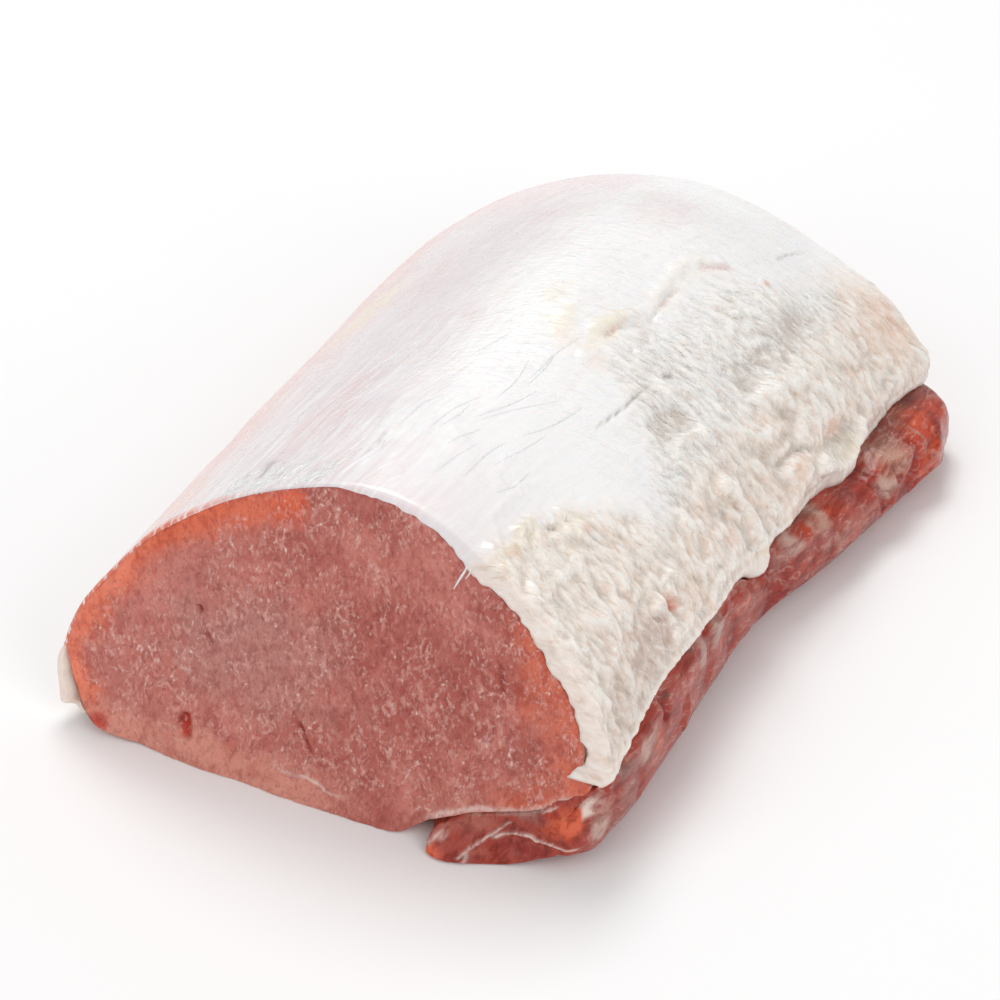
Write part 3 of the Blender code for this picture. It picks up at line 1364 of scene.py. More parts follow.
    def cut_relief(self, across: Array, up: Array, noise: Noise, front: Array, back: Array) -> Array:
        """Unevenness of the open cuts.

        Args:
            across: places across.
            up: heights.
            noise: random field.
            front: 1 on the front cut.
            back: 1 on the back cut.

        Returns:
            Millimetres outwards from the cut.
        """
        spots = np.column_stack([across, up, 40 * back])
        lift = 0.55 * noise.layers(spots, 19.0, 2)
        lift += 0.22 * noise.layers(spots, 5.0, 3)
        lift += 0.10 * noise.layers(spots, (1.6, 2.6, 2.0), 2)
        lift += front * sculpt(self.slits, spots[:, :2], noise)
        return lift

    def colour(self, piece: Piece, across: Array, up: Array, front: Array, back: Array,
               out: Array, noise: Noise) -> None:
        """Keeps where the lean turns grey, deep, orange, peach or pale, and where its slits turn dark red,
        partly as painted shade.

        Args:
            piece: the muscle.
            across: places across.
            up: heights.
            front: 1 on the front cut.
            back: 1 on the back cut.
            out: how far out each vertex lies from the middle.
            noise: random field.
        """
        spots = np.column_stack([across, up])
        wander = noise.layers(spots, 9.0, 3)
        cut = np.clip(front + back, 0, 1)
        paint_on = Paint(len(spots), Tint.ROSE)
        paint_on.lay(Tint.ROSE_LIGHT, ease(-0.1, 0.5, noise.layers(spots + 60, 15.0, 3)) * 0.8)
        paint_on.lay(Tint.ROSE_LIGHT, ease(0, -45, across + 10 * wander) * 0.5)
        grey = ease(1.0, 0.35, np.hypot((across + 17) / 27, (up - 30) / 19) + 0.4 * wander)
        paint_on.lay(Tint.ROSE_GREY, grey * 0.85)
        paint_on.lay(Tint.DEEP, ease(-5, 35, across + 12 * wander) * ease(0.3, -0.3, wander) * 0.45)
        paint_on.lay(Tint.PEACH, ease(10.5, 4, up + 2.2 * wander) * ease(20, -5, across) * 0.85)
        paint_on.lay(Tint.PEACH, ease(16, 9, up + 2.2 * wander) * ease(20, 40, across) * 0.8)
        edge = 1 - (1 - out) * np.hypot(across, up - 27) / 40
        for patch in self.patches:
            paint_on.lay(patch.tint, patch.strength(spots, wander))
        left = ease(-5, -25, across + 8 * wander) * ease(3, 10, up)
        paint_on.lay(Tint.ORANGE, ease(0.81, 0.95, edge + 0.08 * wander) * left * 0.95)
        lit = ease(0.86, 0.98, edge + 0.05 * wander) * left * ease(-40, -50, across)
        paint_on.lay(Tint.ORANGE_LIGHT, lit * 0.8)
        rightside = ease(36, 46, across) * ease(9, 14, up)
        paint_on.lay(Tint.ORANGE, ease(0.74, 0.95, edge + 0.12 * wander) * rightside * 0.6)
        paint_on.lay(Tint.PEACH, 1 - cut)
        # dark red in the front cut's slits, as deep as they go: redder meat there, and painted shade of the
        # slits' depth
        slit_red_and_shade = np.clip(-sculpt(self.slits, spots, noise) / 0.6, 0, 1) * front
        pit = ease(1.0, 0.5, np.hypot((across + 31.4) / 1.9, (up - 8.4) / 3.4)) * front
        wet = ease(1.0, 0.4, np.hypot((across + 52.9) / 3.6, (up - 3.0) / 2.6) + 0.3 * wander) * front
        paint_on.lay(Tint.DARK_RED, slit_red_and_shade)
        paint_on.lay(Tint.PIT, np.maximum(pit * np.clip(1.6 * slit_red_and_shade, 0, 1), wet * 0.95))
        paint_on.lay(Tint.MEMBRANE, self.membrane_line(spots, noise) * front)
        paint_on.keep(piece)
        calm = np.maximum(ease(0.86, 0.96, edge) * left, ease(9, 3, up) * 0.7)
        paint(piece, "calm", np.clip(np.maximum(calm, 1 - cut), 0, 1))

    def membrane_line(self, spots: Array, noise: Noise) -> Array:
        """Thin whitish lines of membrane at the cut's lower edge.

        Args:
            spots: place across and height.
            noise: random field.

        Returns:
            Weights from 0 to 1.
        """
        lines = (
            Stroke(((-12, 7.5), (-6, 5.2), (0, 5.6), (5, 3.8), (10, 4.6)), 0.35, 0.8, 0.8, 0.3),
            Stroke(((-37, 22.4), (-34, 21.2), (-30, 20.8)), 0.3, 0.6, 0.6, 0.3),
            Stroke(((26, 5.4), (36, 9.2), (43, 11.2), (48, 12.4), (52, 14.0), (56, 16.6), (60, 18.2)),
                   0.55, 0.75, 0.5, 0.05),
        )
        return np.clip(sculpt(lines, spots, noise), 0, 1)


# ---- wrap: silverskin and fat cover


@dataclass
class WrapRelief:
    """Shape of the cap's outer face, by the place on it."""

    # a girth so large that no place on the wrap is near the bead
    NO_BEAD = 400.0
    # ragged edge of the fat cover: from the front cut, up from the rim, and how sharply it stands there
    edge: tuple[tuple[float, float, float], ...] = (
        (-5, 61, 0.8), (2, 60, 0.8), (12, 58, 0.8), (22, 55, 0.8), (32, 51, 0.8), (40, 47.5, 0.6),
        (48, 43.5, 0.4), (54, 41, 0.2), (62, 44, 0.1), (70, 54, 0.15), (76, 64, 0.3), (82, 68, 0.45),
        (98, 67, 0.5), (104, 64, 0.5), (118, 63, 0.4), (132, 61, 0.3), (140, 55, 0.3), (150, 50, 0.2),
        (168, 46, 0.1), (185, 42, 0.0), (195, 42, 0.0),
    )
    # where the rim lies above the CAD's, and how far its lip hangs, by distance from the front cut
    rim: tuple[tuple[float, float, float], ...] = (
        (0, 0.0, 2.4), (3, 0.4, 1.8), (7, 2.2, 1.0), (12, 3.8, 0.9), (20, 5.6, 0.9), (30, 6.0, 0.9),
        (50, 6.3, 0.9), (57, 5.6, 0.9), (65, 4.4, 0.9), (73, 3.2, 1.0), (79, 1.8, 1.3), (84, 0.6, 2.6),
        (88, 0.0, 5.2), (91, 0.0, 5.4), (94, 0.8, 2.4), (98, 1.6, 1.2), (106, 1.6, 1.1),
        (115, 0.6, 1.4), (121, 0.0, 2.6), (127, 0.0, 4.4), (133, 0.0, 5.4), (139, 0.0, 5.0),
        (144, 0.0, 3.4), (149, 0.8, 1.6), (160, 1.2, 1.2), (190, 0.8, 1.3),
    )
    # how far the outer face rounds over at a cut and how far that reaches, where it is thinnest,
    # and what each millimetre of thickness adds
    round_drop: Pair = (0.25, 0.28)
    round_reach: Pair = (0.8, 0.85)
    # thickness of the fat that shows at a cut, up from the rim, and what the bead adds there
    cut_depth: tuple[Pair, ...] = (
        (-2, 8.0), (0, 7.6), (3, 6.4), (5, 5.6), (8, 4.0), (10, 4.4), (12, 5.4), (14.5, 4.4), (18, 3.4),
        (24, 3.2), (28, 3.5), (35, 3.2), (42, 3.0), (47, 3.3), (53, 4.2), (58, 3.6), (64, 2.2),
        (69, 1.7), (74, 1.6), (79, 1.3), (84, 1.3), (88, 1.0), (92, 0.42),
    )
    bead_depth: float = 1.5
    # how much lower on the back cut the same thickness lies
    back_shift: float = 11.0
    fat_strokes: tuple[Stroke, ...] = (
        # near ragged edge
        Stroke(((58, 0), (56.5, 8), (54.5, 16), (51.5, 25), (47.5, 33), (44, 42), (39.5, 52)),
               2.6, 1.2, 1.6, 0.1),
        Stroke(((54, 10), (51.5, 18), (47.5, 28), (43.5, 36), (40, 44)), 0.9, -0.8, 1.4, 0.2),
        Stroke(((51, 12), (48, 20), (44, 29), (41, 35)), 1.3, 0.7, 1.2, 0.25),
        Stroke(((41, 6), (41, 16), (38, 27)), 2.0, 0.7, 1.4, 0.3, Pull.FOLD),
        # pit with a hollow and a nub
        Stroke(((17.5, 45.0), (14.5, 41.5)), 2.3, -2.0, 0.6, 0.1),
        Stroke(((20.0, 38.5), (17.0, 37.5)), 1.6, 1.3, 0.4, 0.1),
        Stroke(((22, 42), (21.5, 48), (17, 52)), 1.7, 1.1, 0.6, 0.2, Pull.FOLD),
        Stroke(((11.5, 38), (10.5, 44), (12.5, 49)), 1.8, 0.9, 0.6, 0.2, Pull.FOLD),
        # ridges down the wall at the front
        Stroke(((20, 5), (13, 6), (7, 7), (2, 6.5)), 1.7, 1.2, 0.4, 0.2, Pull.FOLD),
        Stroke(((18, 8.4), (11, 9.4), (4, 9.8)), 1.0, -1.3, 0.4, 0.2),
        Stroke(((16, 12.4), (10, 13), (4, 12.6)), 1.7, 1.0, 0.5, 0.3, Pull.FOLD),
        Stroke(((13, 2.8), (7, 3.2), (2, 3.0)), 0.8, -0.9, 0.3, 0.2),
        # crest behind the front cut, and the hollow behind it
        Stroke(((48, 5.2), (40, 4.6), (32, 4.0), (26, 4.6), (18, 4.0)), 1.3, 0.6, 1.4, 0.12),
        Stroke(((44, 7.6), (36, 7.2), (28, 7.0)), 1.2, -0.5, 1.2, 0.2),
        # lumps that lead to the pointed lobe of the rim
        Stroke(((24, 79), (21, 83.5), (15, 86), (9, 88), (3, 90), (-3, 91)), 2.0, 2.0, 0.9, 0.08),
        Stroke(((20, 88.5), (14, 90.5), (8, 93.5), (3, 96)), 1.4, -1.3, 0.8, 0.2),
        Stroke(((17, 80), (11, 82.5), (5, 85)), 1.2, -1.0, 0.8, 0.2),
        Stroke(((20, 93), (13, 96), (6, 99)), 2.4, 1.1, 0.9, 0.2, Pull.FOLD),
        # round pink lobe
        Stroke(((12.5, 109), (9.5, 115)), 2.6, 1.7, 0.6, 0.0),
        Stroke(((15.5, 105), (16.2, 111), (14.0, 117), (10.5, 121)), 0.9, -1.3, 0.7, 0.15),
        # crescent lobe further back, and its hollow
        Stroke(((9, 120), (4, 126), (0.5, 132), (0.5, 139), (4, 145), (8.5, 148.5)), 1.7, 2.4, 0.5, 0.08),
        Stroke(((12, 127), (8.5, 132), (7.5, 137), (9.5, 142)), 2.6, -2.4, 0.4, 0.1),
        # grey dips, and the white fold under the far one
        Stroke(((37, 104), (35.5, 118), (33.5, 130), (35, 144), (39, 158)), 5.5, -1.5, 1.5, 0.2),
        Stroke(((45, 70), (41, 79), (38.5, 90)), 3.4, -1.2, 1.2, 0.25),
        Stroke(((31.5, 108), (29.5, 116), (26.5, 126), (22, 137)), 2.4, 1.5, 1.0, 0.2),
        Stroke(((38, 72), (35, 82), (33, 92)), 1.8, 1.0, 1.0, 0.25),
        # creases on the wall
        Stroke(((24, 152), (18, 156), (10, 158)), 2.2, 0.9, 1.0, 0.3, Pull.FOLD),
        Stroke(((22, 168), (14, 172), (6, 174)), 2.0, 0.7, 1.0, 0.3, Pull.FOLD),
        Stroke(((30, 96), (25, 104), (22, 114)), 1.6, 1.0, 1.2, 0.3),
        Stroke(((31, 60), (24, 64), (18, 70)), 1.7, 1.0, 1.2, 0.3),
        Stroke(((36, 84), (30, 88), (20, 92)), 1.3, 0.9, 1.2, 0.3),
        Stroke(((34, 112), (27, 118), (20, 121)), 1.4, 0.9, 1.2, 0.3),
    )
    skin_strokes: tuple[Stroke, ...] = (
        # dark scratch over the crown, and finer ones
        Stroke(((55.0, 58), (54.2, 63), (51.4, 73), (49.2, 85)), 0.30, -0.45, 0.2, 0.3),
        Stroke(((48.4, 89), (47.6, 92)), 0.5, -0.5, 0.2, 0.0),
        Stroke(((49.4, 157), (48.4, 164), (46.4, 172), (45, 180)), 0.35, -0.35, 0.3, 0.25),
        Stroke(((124, 12), (123.5, 20), (124.5, 29)), 0.35, -0.35, 0.5, 0.3),
        Stroke(((112, 2), (114, 9), (115.5, 17)), 0.40, -0.40, 0.5, 0.2),
        Stroke(((109, 4), (110.5, 9), (113, 15)), 0.35, -0.3, 0.5, 0.2),
        Stroke(((91, 12), (90, 19), (90.5, 26)), 0.35, -0.25, 0.5, 0.3),
    )
    skin_swells: tuple[Stroke, ...] = (
        # far creamy ridge, with its creases and nub
        Stroke(((67.0, 83), (66.5, 90), (64.5, 97), (61.5, 101)), 1.8, 1.1, 1.0, 0.12),
        Stroke(((64.0, 84), (63.6, 90), (61.5, 96), (59.0, 100)), 0.8, -0.7, 0.7, 0.2),
        Stroke(((67.0, 73), (63.0, 77), (59.0, 79)), 1.7, 0.55, 0.8, 0.2),
        Stroke(((64.5, 107), (64.2, 116), (63.5, 126), (61.0, 134), (56.0, 140)), 1.8, 0.9, 1.2, 0.12),
        Stroke(((59.8, 100), (61.4, 106), (61.6, 112), (61.3, 118)), 0.55, -0.8, 0.5, 0.15),
        Stroke(((61.0, 128), (58.5, 133), (55.0, 138), (50.0, 142)), 0.55, -0.6, 0.6, 0.2),
        Stroke(((47.6, 143.0), (46.6, 143.9)), 1.1, 0.7, 0.2, 0.0),
        Stroke(((74, 80), (75, 90), (73, 99)), 2.6, 0.45, 1.2, 0.3),
        Stroke(((80, 84), (80, 92)), 2.0, 0.30, 1.0, 0.3),
        Stroke(((70, 20), (78, 34), (84, 52)), 3.0, 0.35, 1.5, 0.3),
        Stroke(((88, 16), (94, 38), (97, 60)), 3.0, 0.30, 1.5, 0.3),
        Stroke(((57, 6), (60, 14), (58, 26), (54, 38)), 1.2, 0.4, 1.6, 0.3),
        Stroke(((62, 18), (64, 30), (60, 44)), 1.4, 0.35, 1.6, 0.3),
    )
    # swelling at the front end of the bead: down from its end, from the front cut
    nub: Stroke = Stroke(((-12, -1), (-6, 0.5), (-2, 3)), 4.2, 1.7, 0.6, 0.0)

    def __post_init__(self) -> None:
        """Draws the random fields."""
        self.noise = Noise(23)
        self.fine = Noise(57)

    def edge_at(self, along: Array) -> tuple[Array, Array]:
        """Where the fat's ragged edge lies.

        Args:
            along: distances from the front cut.

        Returns:
            Distances up from the rim, and how sharply the fat stands there, from 0 to 1.
        """
        return looked_up(self.edge, along), looked_up(self.edge, along, 2)

    def rim_at(self, along: Array) -> tuple[Array, Array]:
        """Where the rim lies.

        Args:
            along: distances from the front cut.

        Returns:
            How far it lies above the CAD's rim, and how far its lip hangs down from there.
        """
        return looked_up(self.rim, along), looked_up(self.rim, along, 2)

    def rounding(self, up: Array, along: Array) -> Array:
        """How far the outer face rounds over towards the cuts.

        Args:
            up: distances up from the rim.
            along: distances from the front cut.

        Returns:
            Millimetres inwards.
        """
        thick = self.depth_at(up, np.full(np.shape(up), self.NO_BEAD), along) - self.cut_depth[-1][1]
        drop, reach = (least + more * thick for least, more in (self.round_drop, self.round_reach))
        near = np.minimum(along, SECTIONS.length - along)
        share = np.clip(1 - near / reach, 0, 1)
        return drop * (1 - np.sqrt(1 - share**2))

    def depth_at(self, up: Array, girth: Array, along: Array) -> Array:
        """Thickness of the cap that shows at a cut.

        Args:
            up: distances up from the rim.
            girth: distance from rim to bead.
            along: distances from the front cut.

        Returns:
            Millimetres.
        """
        shift = np.interp(along, (0, SECTIONS.length), (0, self.back_shift))
        return looked_up(self.cut_depth, up + shift) + self.bead_depth * ease(-18, -11, up - girth)

    def fatness(self, spots: Array) -> Array:
        """How much fat lies over the silverskin.

        Args:
            spots: places on the wrap.

        Returns:
            0 on bare silverskin, 1 where the fat is full.
        """
        up, along = spots.T
        edge, step = self.edge_at(along)
        ragged = 2.8 * self.noise.layers(spots, (6.0, 8.0), 3, 0.6) + 0.6 * self.fine.layers(spots, 2.2, 2)
        return ease(0.0, 1.0, (edge - up + ragged) / (4.0 + 14.0 * (1 - step)))

    def zones(self, spots: Array) -> tuple[Array, Array, Array]:
        """How the fat's wrinkles change over the cap.

        Args:
            spots: places on the wrap.

        Returns:
            Weights of the wall above the rim, of the white rippled zone, and of the lumpy front.
        """
        up, along = spots.T
        wall = ease(34, 18, up)
        white = ease(24, 34, up) * ease(42, 58, along) * ease(178, 160, along)
        front = ease(60, 44, along)
        return wall, white, front

    def height(self, spots: Array) -> Array:
        """Relief of the outer face.

        Args:
            spots: places on the wrap.

        Returns:
            Millimetres above the CAD's face.
        """
        up, along = spots.T
        fat = self.fatness(spots)
        edge, step = self.edge_at(along)
        wall, white, front = self.zones(spots)
        noise, fine = self.noise, self.fine
        drift = np.column_stack([noise.layers(spots + k, 13.0, 2) for k in (0.0, 40.0)]) * 3.0
        bent = spots + drift
        slant = np.column_stack([bent[:, 0], bent[:, 1] + (0.48 - 0.1 * front) * bent[:, 0]])
        lift = 0.35 * noise.layers(spots, 34.0, 2)
        lumps = 0.95 * noise.layers(bent, (12.0, 11.0), 2)
        swells = 0.75 * noise.folds(bent + 31.0, (9.0, 7.0), 2, 0.4)
        ripples = fine.folds(slant, (13.0, 2.7), 2, 0.5)
        dimples = fine.folds(slant + 70.0, (4.4, 2.0), 2, 0.5)
        knobs = fine.folds(bent + 11.0, (5.6, 4.2), 2, 0.5)
        near_edge = ease(16, 2, edge - up)
        lift += fat * (0.1 + lumps * (0.6 + 0.4 * wall)
                       + swells * np.clip(0.25 + 0.3 * front + 0.25 * wall + 0.6 * near_edge, 0, 1.0)
                       * (1 - 0.7 * white))
        lift += fat * ripples * (0.30 + 0.10 * white)
        lift += fat * dimples * (0.12 + 0.04 * wall + 0.12 * front)
        lift += fat * knobs * 0.28 * ease(10, 3, edge - up) * np.clip(step * 1.6, 0, 1)
        lift += 0.45 * step * fat * ease(20, 2, edge - up)
        band = ease(62, 48, up) * ease(26, 34, up) * ease(40, 55, along) * (1 - fat)
        lift += 0.20 * ripples * band
        lift += 0.14 * noise.layers(spots, (5.0, 22.0), 3) * (1 - fat)
        low = self.rim_at(along)[0]
        lift *= 0.45 + 0.55 * ease(0, 5, up - low)
        lift += 0.35 * np.exp(-(((up - low - 0.4) / 0.8) ** 2))
        lift += fat * sculpt(self.fat_strokes, spots, noise)
        lift += sculpt(self.skin_strokes + self.skin_swells, spots, noise)
        return lift - self.rounding(up, along)


SKIN_PATCHES = patch_table(
    (Tint.FAT_YELLOW, 74, 82, 5, 9, 0.5), (Tint.FAT_YELLOW, 80, 90, 4, 8, 0.45),
    (Tint.FAT_CREAM, 70, 78, 5, 6, 0.5), (Tint.FAT_YELLOW, 134, 94, 9, 18, 0.7),
    (Tint.FAT_PEACH, 140, 20, 8, 12, 0.5), (Tint.SKIN_PINK, 100, 172, 16, 20, 0.6),
    (Tint.SKIN_PINK, 78, 150, 12, 22, 0.35),
)
# the thin dark band along the far ridge is painted shade in its crease
RIDGE_PATCHES = patch_table(
    (Tint.FAT_CREST, 62.5, 118, 4.5, 26, 0.55), (Tint.FAT_YELLOW, 65, 88, 4.5, 14, 0.6),
    (Tint.FAT_CREAM, 62, 77, 4.5, 5, 0.6), (Tint.FAT_BLUSH, 63.8, 90, 1.0, 8, 0.4),
    (Tint.FAT_DEEP_SHADE, 61.2, 110, 0.7, 9, 0.55), (Tint.FAT_BLUSH, 57.5, 134, 1.6, 8, 0.3, 28),
    (Tint.FAT_BLUSH, 47.1, 143.4, 1.4, 1.4, 0.8),
)
# the grey patches on the dips and low on the wall, and the dark brownish ones on the wall near the front,
# are painted shade
FAT_PATCHES = patch_table(
    (Tint.FAT_YELLOW, 53, 14, 5, 18, 0.7), (Tint.FAT_YELLOW, 45, 34, 4, 10, 0.5),
    (Tint.FAT_SHADE, 35.5, 136, 8, 19, 0.38), (Tint.FAT_SHADE, 36.5, 112, 4, 12, 0.35),
    (Tint.FAT_SHADE, 40.5, 80, 4.5, 11, 0.35), (Tint.FAT_BLUSH, 16.0, 43.5, 3.4, 3.4, 1.0),
    (Tint.RUST, 16.0, 43.6, 1.9, 1.5, 0.85), (Tint.FAT_PEACH, 14, 50, 8, 7, 0.6),
    (Tint.FAT_PEACH, 10, 135, 4.5, 7.0, 1.0), (Tint.FAT_BLUSH, 8.5, 137, 2.2, 4.0, 0.45),
    (Tint.FAT_BLUSH, 52, 8, 2.6, 3.4, 0.3), (Tint.FAT_BLUSH, 48.5, 21, 2.0, 5.0, 0.35, -20),
    (Tint.FAT_BLUSH, 42, 33, 1.6, 2.4, 0.5), (Tint.FAT_PEACH, 11, 112, 4.5, 5.5, 0.8),
    (Tint.FAT_PEACH, 20, 178, 14, 14, 0.7), (Tint.FAT_BLUSH, 20, 182, 7, 7, 0.22),
    (Tint.FAT_PEACH, 38, 182, 10, 10, 0.5), (Tint.FAT_BLUSH, 12, 78, 3.0, 3.0, 0.30),
    (Tint.FAT_YELLOW, 2, 136, 5, 10, 0.6), (Tint.FAT_YELLOW, 0, 90, 5, 5, 0.6),
    (Tint.FAT_PEACH, 13, 89, 4, 6, 0.5), (Tint.FAT_DEEP_SHADE, 13, 30, 11, 14, 0.75),
    (Tint.FAT_DEEP_SHADE, 14, 12, 11, 10, 0.45), (Tint.FAT_SHADE, 6, 24, 6, 20, 0.35),
    (Tint.FAT_CREST, 47, 16, 8, 14, 0.5), (Tint.CROWN, 60, 108, 14, 26, 0.7),
)


def share_of(along: Array) -> Array:
    """Shares of the length at distances from the front cut."""
    return np.clip(along / SECTIONS.length, 0, 1)


def spaced(steps: tuple[Pair, ...], end: float) -> Array:
    """Places from 0 to an end, at steps that change on the way.

    Args:
        steps: distances and the step's size there.
        end: distance of the last place.

    Returns:
        The places.
    """
    places = [0.0]
    while places[-1] < end:
        places.append(places[-1] + float(looked_up(steps, places[-1])))
    return np.array(places) * end / places[-1]


@dataclass
class FatCover:
    """The cap: one closed sheet of fat that thins to silverskin, with cut edges, rim and bead."""

    wrap: Wrap
    relief: WrapRelief
    across_steps: tuple = ((0, 0.52), (66, 0.52), (80, 1.7), (134, 1.7), (142, 0.7), (156, 0.7))
    along_steps: tuple = ((0, 0.22), (4.5, 0.26), (8, 0.48), (182, 0.48), (186, 0.3), (190, 0.25))
    typical_girth: float = 155.0
    lip: int = 8
    cut: int = 6
    overlap: float = 0.75
    proud: float = 0.30
    rim_depth: float = 2.6
    tuck: float = 4.0
    # how many columns before its lip the bead starts to sink in
    tuck_ahead: int = 5
    # how far in from a cut the inner face ends, and how far off the table the cover stays
    inset: float = 2.0
    off_table: float = 0.3

    def build(self, finish: Material) -> None:
        """Models and dresses the cover.

        Args:
            finish: its material.
        """
        share = spaced(self.along_steps, SECTIONS.length) / SECTIONS.length
        girth = self.wrap.girth(share)[:, None]
        low = self.relief.rim_at(share * SECTIONS.length)[0][:, None]
        columns = spaced(self.across_steps, self.typical_girth) / self.typical_girth
        ups = low + (girth - low) * columns
        along = np.broadcast_to((share * SECTIONS.length)[:, None], ups.shape)
        spots = np.column_stack([ups.ravel(), along.ravel()])
        height = self.relief.height(spots).reshape(ups.shape)
        from_bead = np.column_stack([(ups - girth).ravel(), along.ravel()])
        height = height + sculpt((self.relief.nub,), from_bead, self.relief.noise).reshape(ups.shape)
        fat = self.relief.fatness(spots).reshape(ups.shape)
        outline = self.wrap.outline(ups, share)
        run = np.gradient(outline, axis=1)
        run /= np.linalg.norm(run, axis=2, keepdims=True)
        outward = np.stack([run[..., 1], -run[..., 0]], axis=-1)
        outer = outline + outward * height[..., None]
        cover = self.wrap.cover(ups, share) + self.overlap
        cover = self.rim_depth + (cover - self.rim_depth) * ease(1, 8, ups - low)
        inner = outline - outward * cover[..., None]
        outer, inner = self.with_lips(outer, inner, run, share)
        lip = self.lip
        wide = ((0, 0), (lip, lip))
        shown = self.relief.depth_at(ups, girth, along)
        shown, outward = np.pad(shown, wide, mode="edge"), np.pad(outward, (*wide, (0, 0)), mode="edge")
        sheet = self.lay_out(share, outer, inner, outward, shown)
        self.colour(sheet, ups, along, height, fat)
        self.close(sheet, inner, share)
        point_outwards(sheet)
        hand_over(sheet, finish, ("fat_cap",))

    def with_lips(self, outer: Array, inner: Array, run: Array, share: Array) -> tuple[Array, Array]:
        """Adds the columns that turn the cover's rim and bead in.

        Args:
            outer: outer points.
            inner: inner points.
            run: directions up the face.
            share: share of the length of each row.

        Returns:
            Outer and inner points with the lips' columns at both sides.
        """
        along = share * SECTIONS.length
        hang = self.relief.rim_at(along)[1]
        ragged = self.relief.fine.layers(np.column_stack([along, along * 0]), 4.5, 3, 0.6)
        hang = softened(hang, 3.0, 0) + 0.35 * ragged
        sides = ((0, -1.0, hang), (-1, 1.0, np.full(len(share), 0.9)))
        turned = []
        for at, sign, drop in sides:
            start, end = outer[:, at], inner[:, at]
            heading = sign * run[:, at]
            steps = []
            for k in range(1, self.lip + 1):
                angle = math.pi * k / self.lip
                middle = start + (end - start) * (1 - math.cos(angle)) / 2
                steps.append(middle + heading * (drop * math.sin(angle) ** 0.8)[:, None])
            turned.append(np.stack(steps, axis=1))
        ends = [np.repeat(inner[:, at][:, None], self.lip, axis=1) for at in (0, -1)]
        return (
            np.concatenate([turned[0][:, ::-1], outer, turned[1]], axis=1),
            np.concatenate([ends[0], inner, ends[1]], axis=1),
        )

    def lay_out(self, share: Array, outer: Array, inner: Array, outward: Array, shown: Array) -> Piece:
        """Lays a sheet over the outer face and turns its ends in at the cuts.

        Args:
            share: share of the length of each row.
            outer: outer points.
            inner: inner points.
            outward: directions away from the meat.
            shown: thickness that shows at a cut.

        Returns:
            The sheet.
        """
        rows, columns = outer.shape[:2]
        cut = self.cut
        sheet, column, row = new_sheet("fat_cover", columns - 1, rows + 2 * cut - 1)
        line = np.clip(row - cut, 0, rows - 1)
        depth = np.clip(np.maximum(cut - row, row - (rows - 1 + cut)), 0, cut) / cut
        spots = np.column_stack([np.arange(columns) * 0.5, np.zeros(columns)])
        scallop = self.relief.noise.folds(spots, 3.6, 2, 0.5) * np.clip(shown[0] - 0.5, 0, 1)
        inwards = (shown[line, column] + 0.2 + 0.40 * scallop[column]) * depth**1.1
        thick = np.hypot(*np.moveaxis(outer - inner, -1, 0))[line, column]
        heading = (inner - outer)[line, column] / np.maximum(thick, 1e-6)[:, None]
        straight = (column >= self.lip) & (column < columns - self.lip)
        heading[straight] = -outward[line, column][straight]
        inwards = np.where(straight, inwards, np.minimum(inwards, thick))
        spot = outer[line, column] + heading * inwards[:, None]
        place = SECTIONS.placed(spot[:, 0], spot[:, 1], share[line])
        proud = self.proud * np.clip(shown[line, column] - 0.5, 0, 1)
        swell = proud * np.sin(depth * math.pi * 0.72) ** 0.7
        sign = np.where(row < cut, -1.0, 1.0)
        last = depth >= 1
        place[:, 1] += MM * sign * np.where(last, -self.inset, swell)
        bead = column - (columns - 1 - self.lip) + self.tuck_ahead
        turned = np.maximum(self.lip - column, bead) / self.lip
        along = share[line] * SECTIONS.length
        near_cuts = ease(10, 0, along) - ease(10, 0, SECTIONS.length - along)
        place[:, 1] += MM * self.tuck * ease(0.0, 0.4, turned) * near_cuts
        place[:, 2] = np.maximum(place[:, 2], MM * self.off_table)
        write_points(sheet, place)
        self.column, self.row_line, self.depth = column, line, depth * sign
        return sheet

    def colour(self, sheet: Piece, ups: Array, along: Array, height: Array, fat: Array) -> None:
        """Keeps each vertex's place on the wrap and its colour, with painted shade and highlights that
        follow the relief.

        Args:
            sheet: the cover.
            ups: distances up from the rim.
            along: distances from the front cut.
            height: relief, which also places the painted shade and highlights.
            fat: how much fat lies there.
        """
        line = self.row_line
        past = self.column - self.lip
        at = np.clip(past, 0, ups.shape[1] - 1)
        broad = softened(softened(height, 10.0, 0), 10.0, 1)
        local = (height - broad)[line, at]
        crisp = (height - softened(softened(height, 2.6, 0), 2.6, 1))[line, at]
        up = ups[line, at] + 0.4 * (past - at)
        back = along[line, at] + 2.5 * self.depth
        spots = np.column_stack([up, back])
        self.keep_places(sheet, spots)
        girth = self.wrap.girth(share_of(back))
        noise = self.relief.noise
        wander = noise.layers(spots, 14.0, 3)
        fine = noise.layers(spots + 9, 3.2, 3)
        thick = np.clip(fat[line, at], 0, 1)
        wall, white, front = self.relief.zones(spots)
        skin = Paint(len(spots), Tint.SKIN)
        skin.lay(Tint.SKIN_PINK, ease(-0.1, 0.4, noise.layers(spots + 33, (12, 40), 3)) * 0.5)
        skin.lay(Tint.CROWN, ease(106, 84, up + 6 * wander) * ease(-30, 40, back))
        skin.lay(Tint.SKIN_PINK, ease(104, 124, up) * ease(120, 160, back) * 0.9)
        skin.lay(Tint.SKIN_EDGE, ease(126, 146, up + 5 * wander) * 0.8)
        for patch in SKIN_PATCHES + RIDGE_PATCHES:
            skin.lay(patch.tint, patch.strength(spots, fine))
        skin.lay(Tint.SKIN_EDGE, ease(3.0, 0.5, back + wander) * ease(108, 124, up) * 0.8)
        bare = ease(3.2, 1.4, back + 0.8 * wander + 0.5 * fine) * ease(118, 138, up)
        skin.lay(Tint.ORANGE, bare * 0.9)
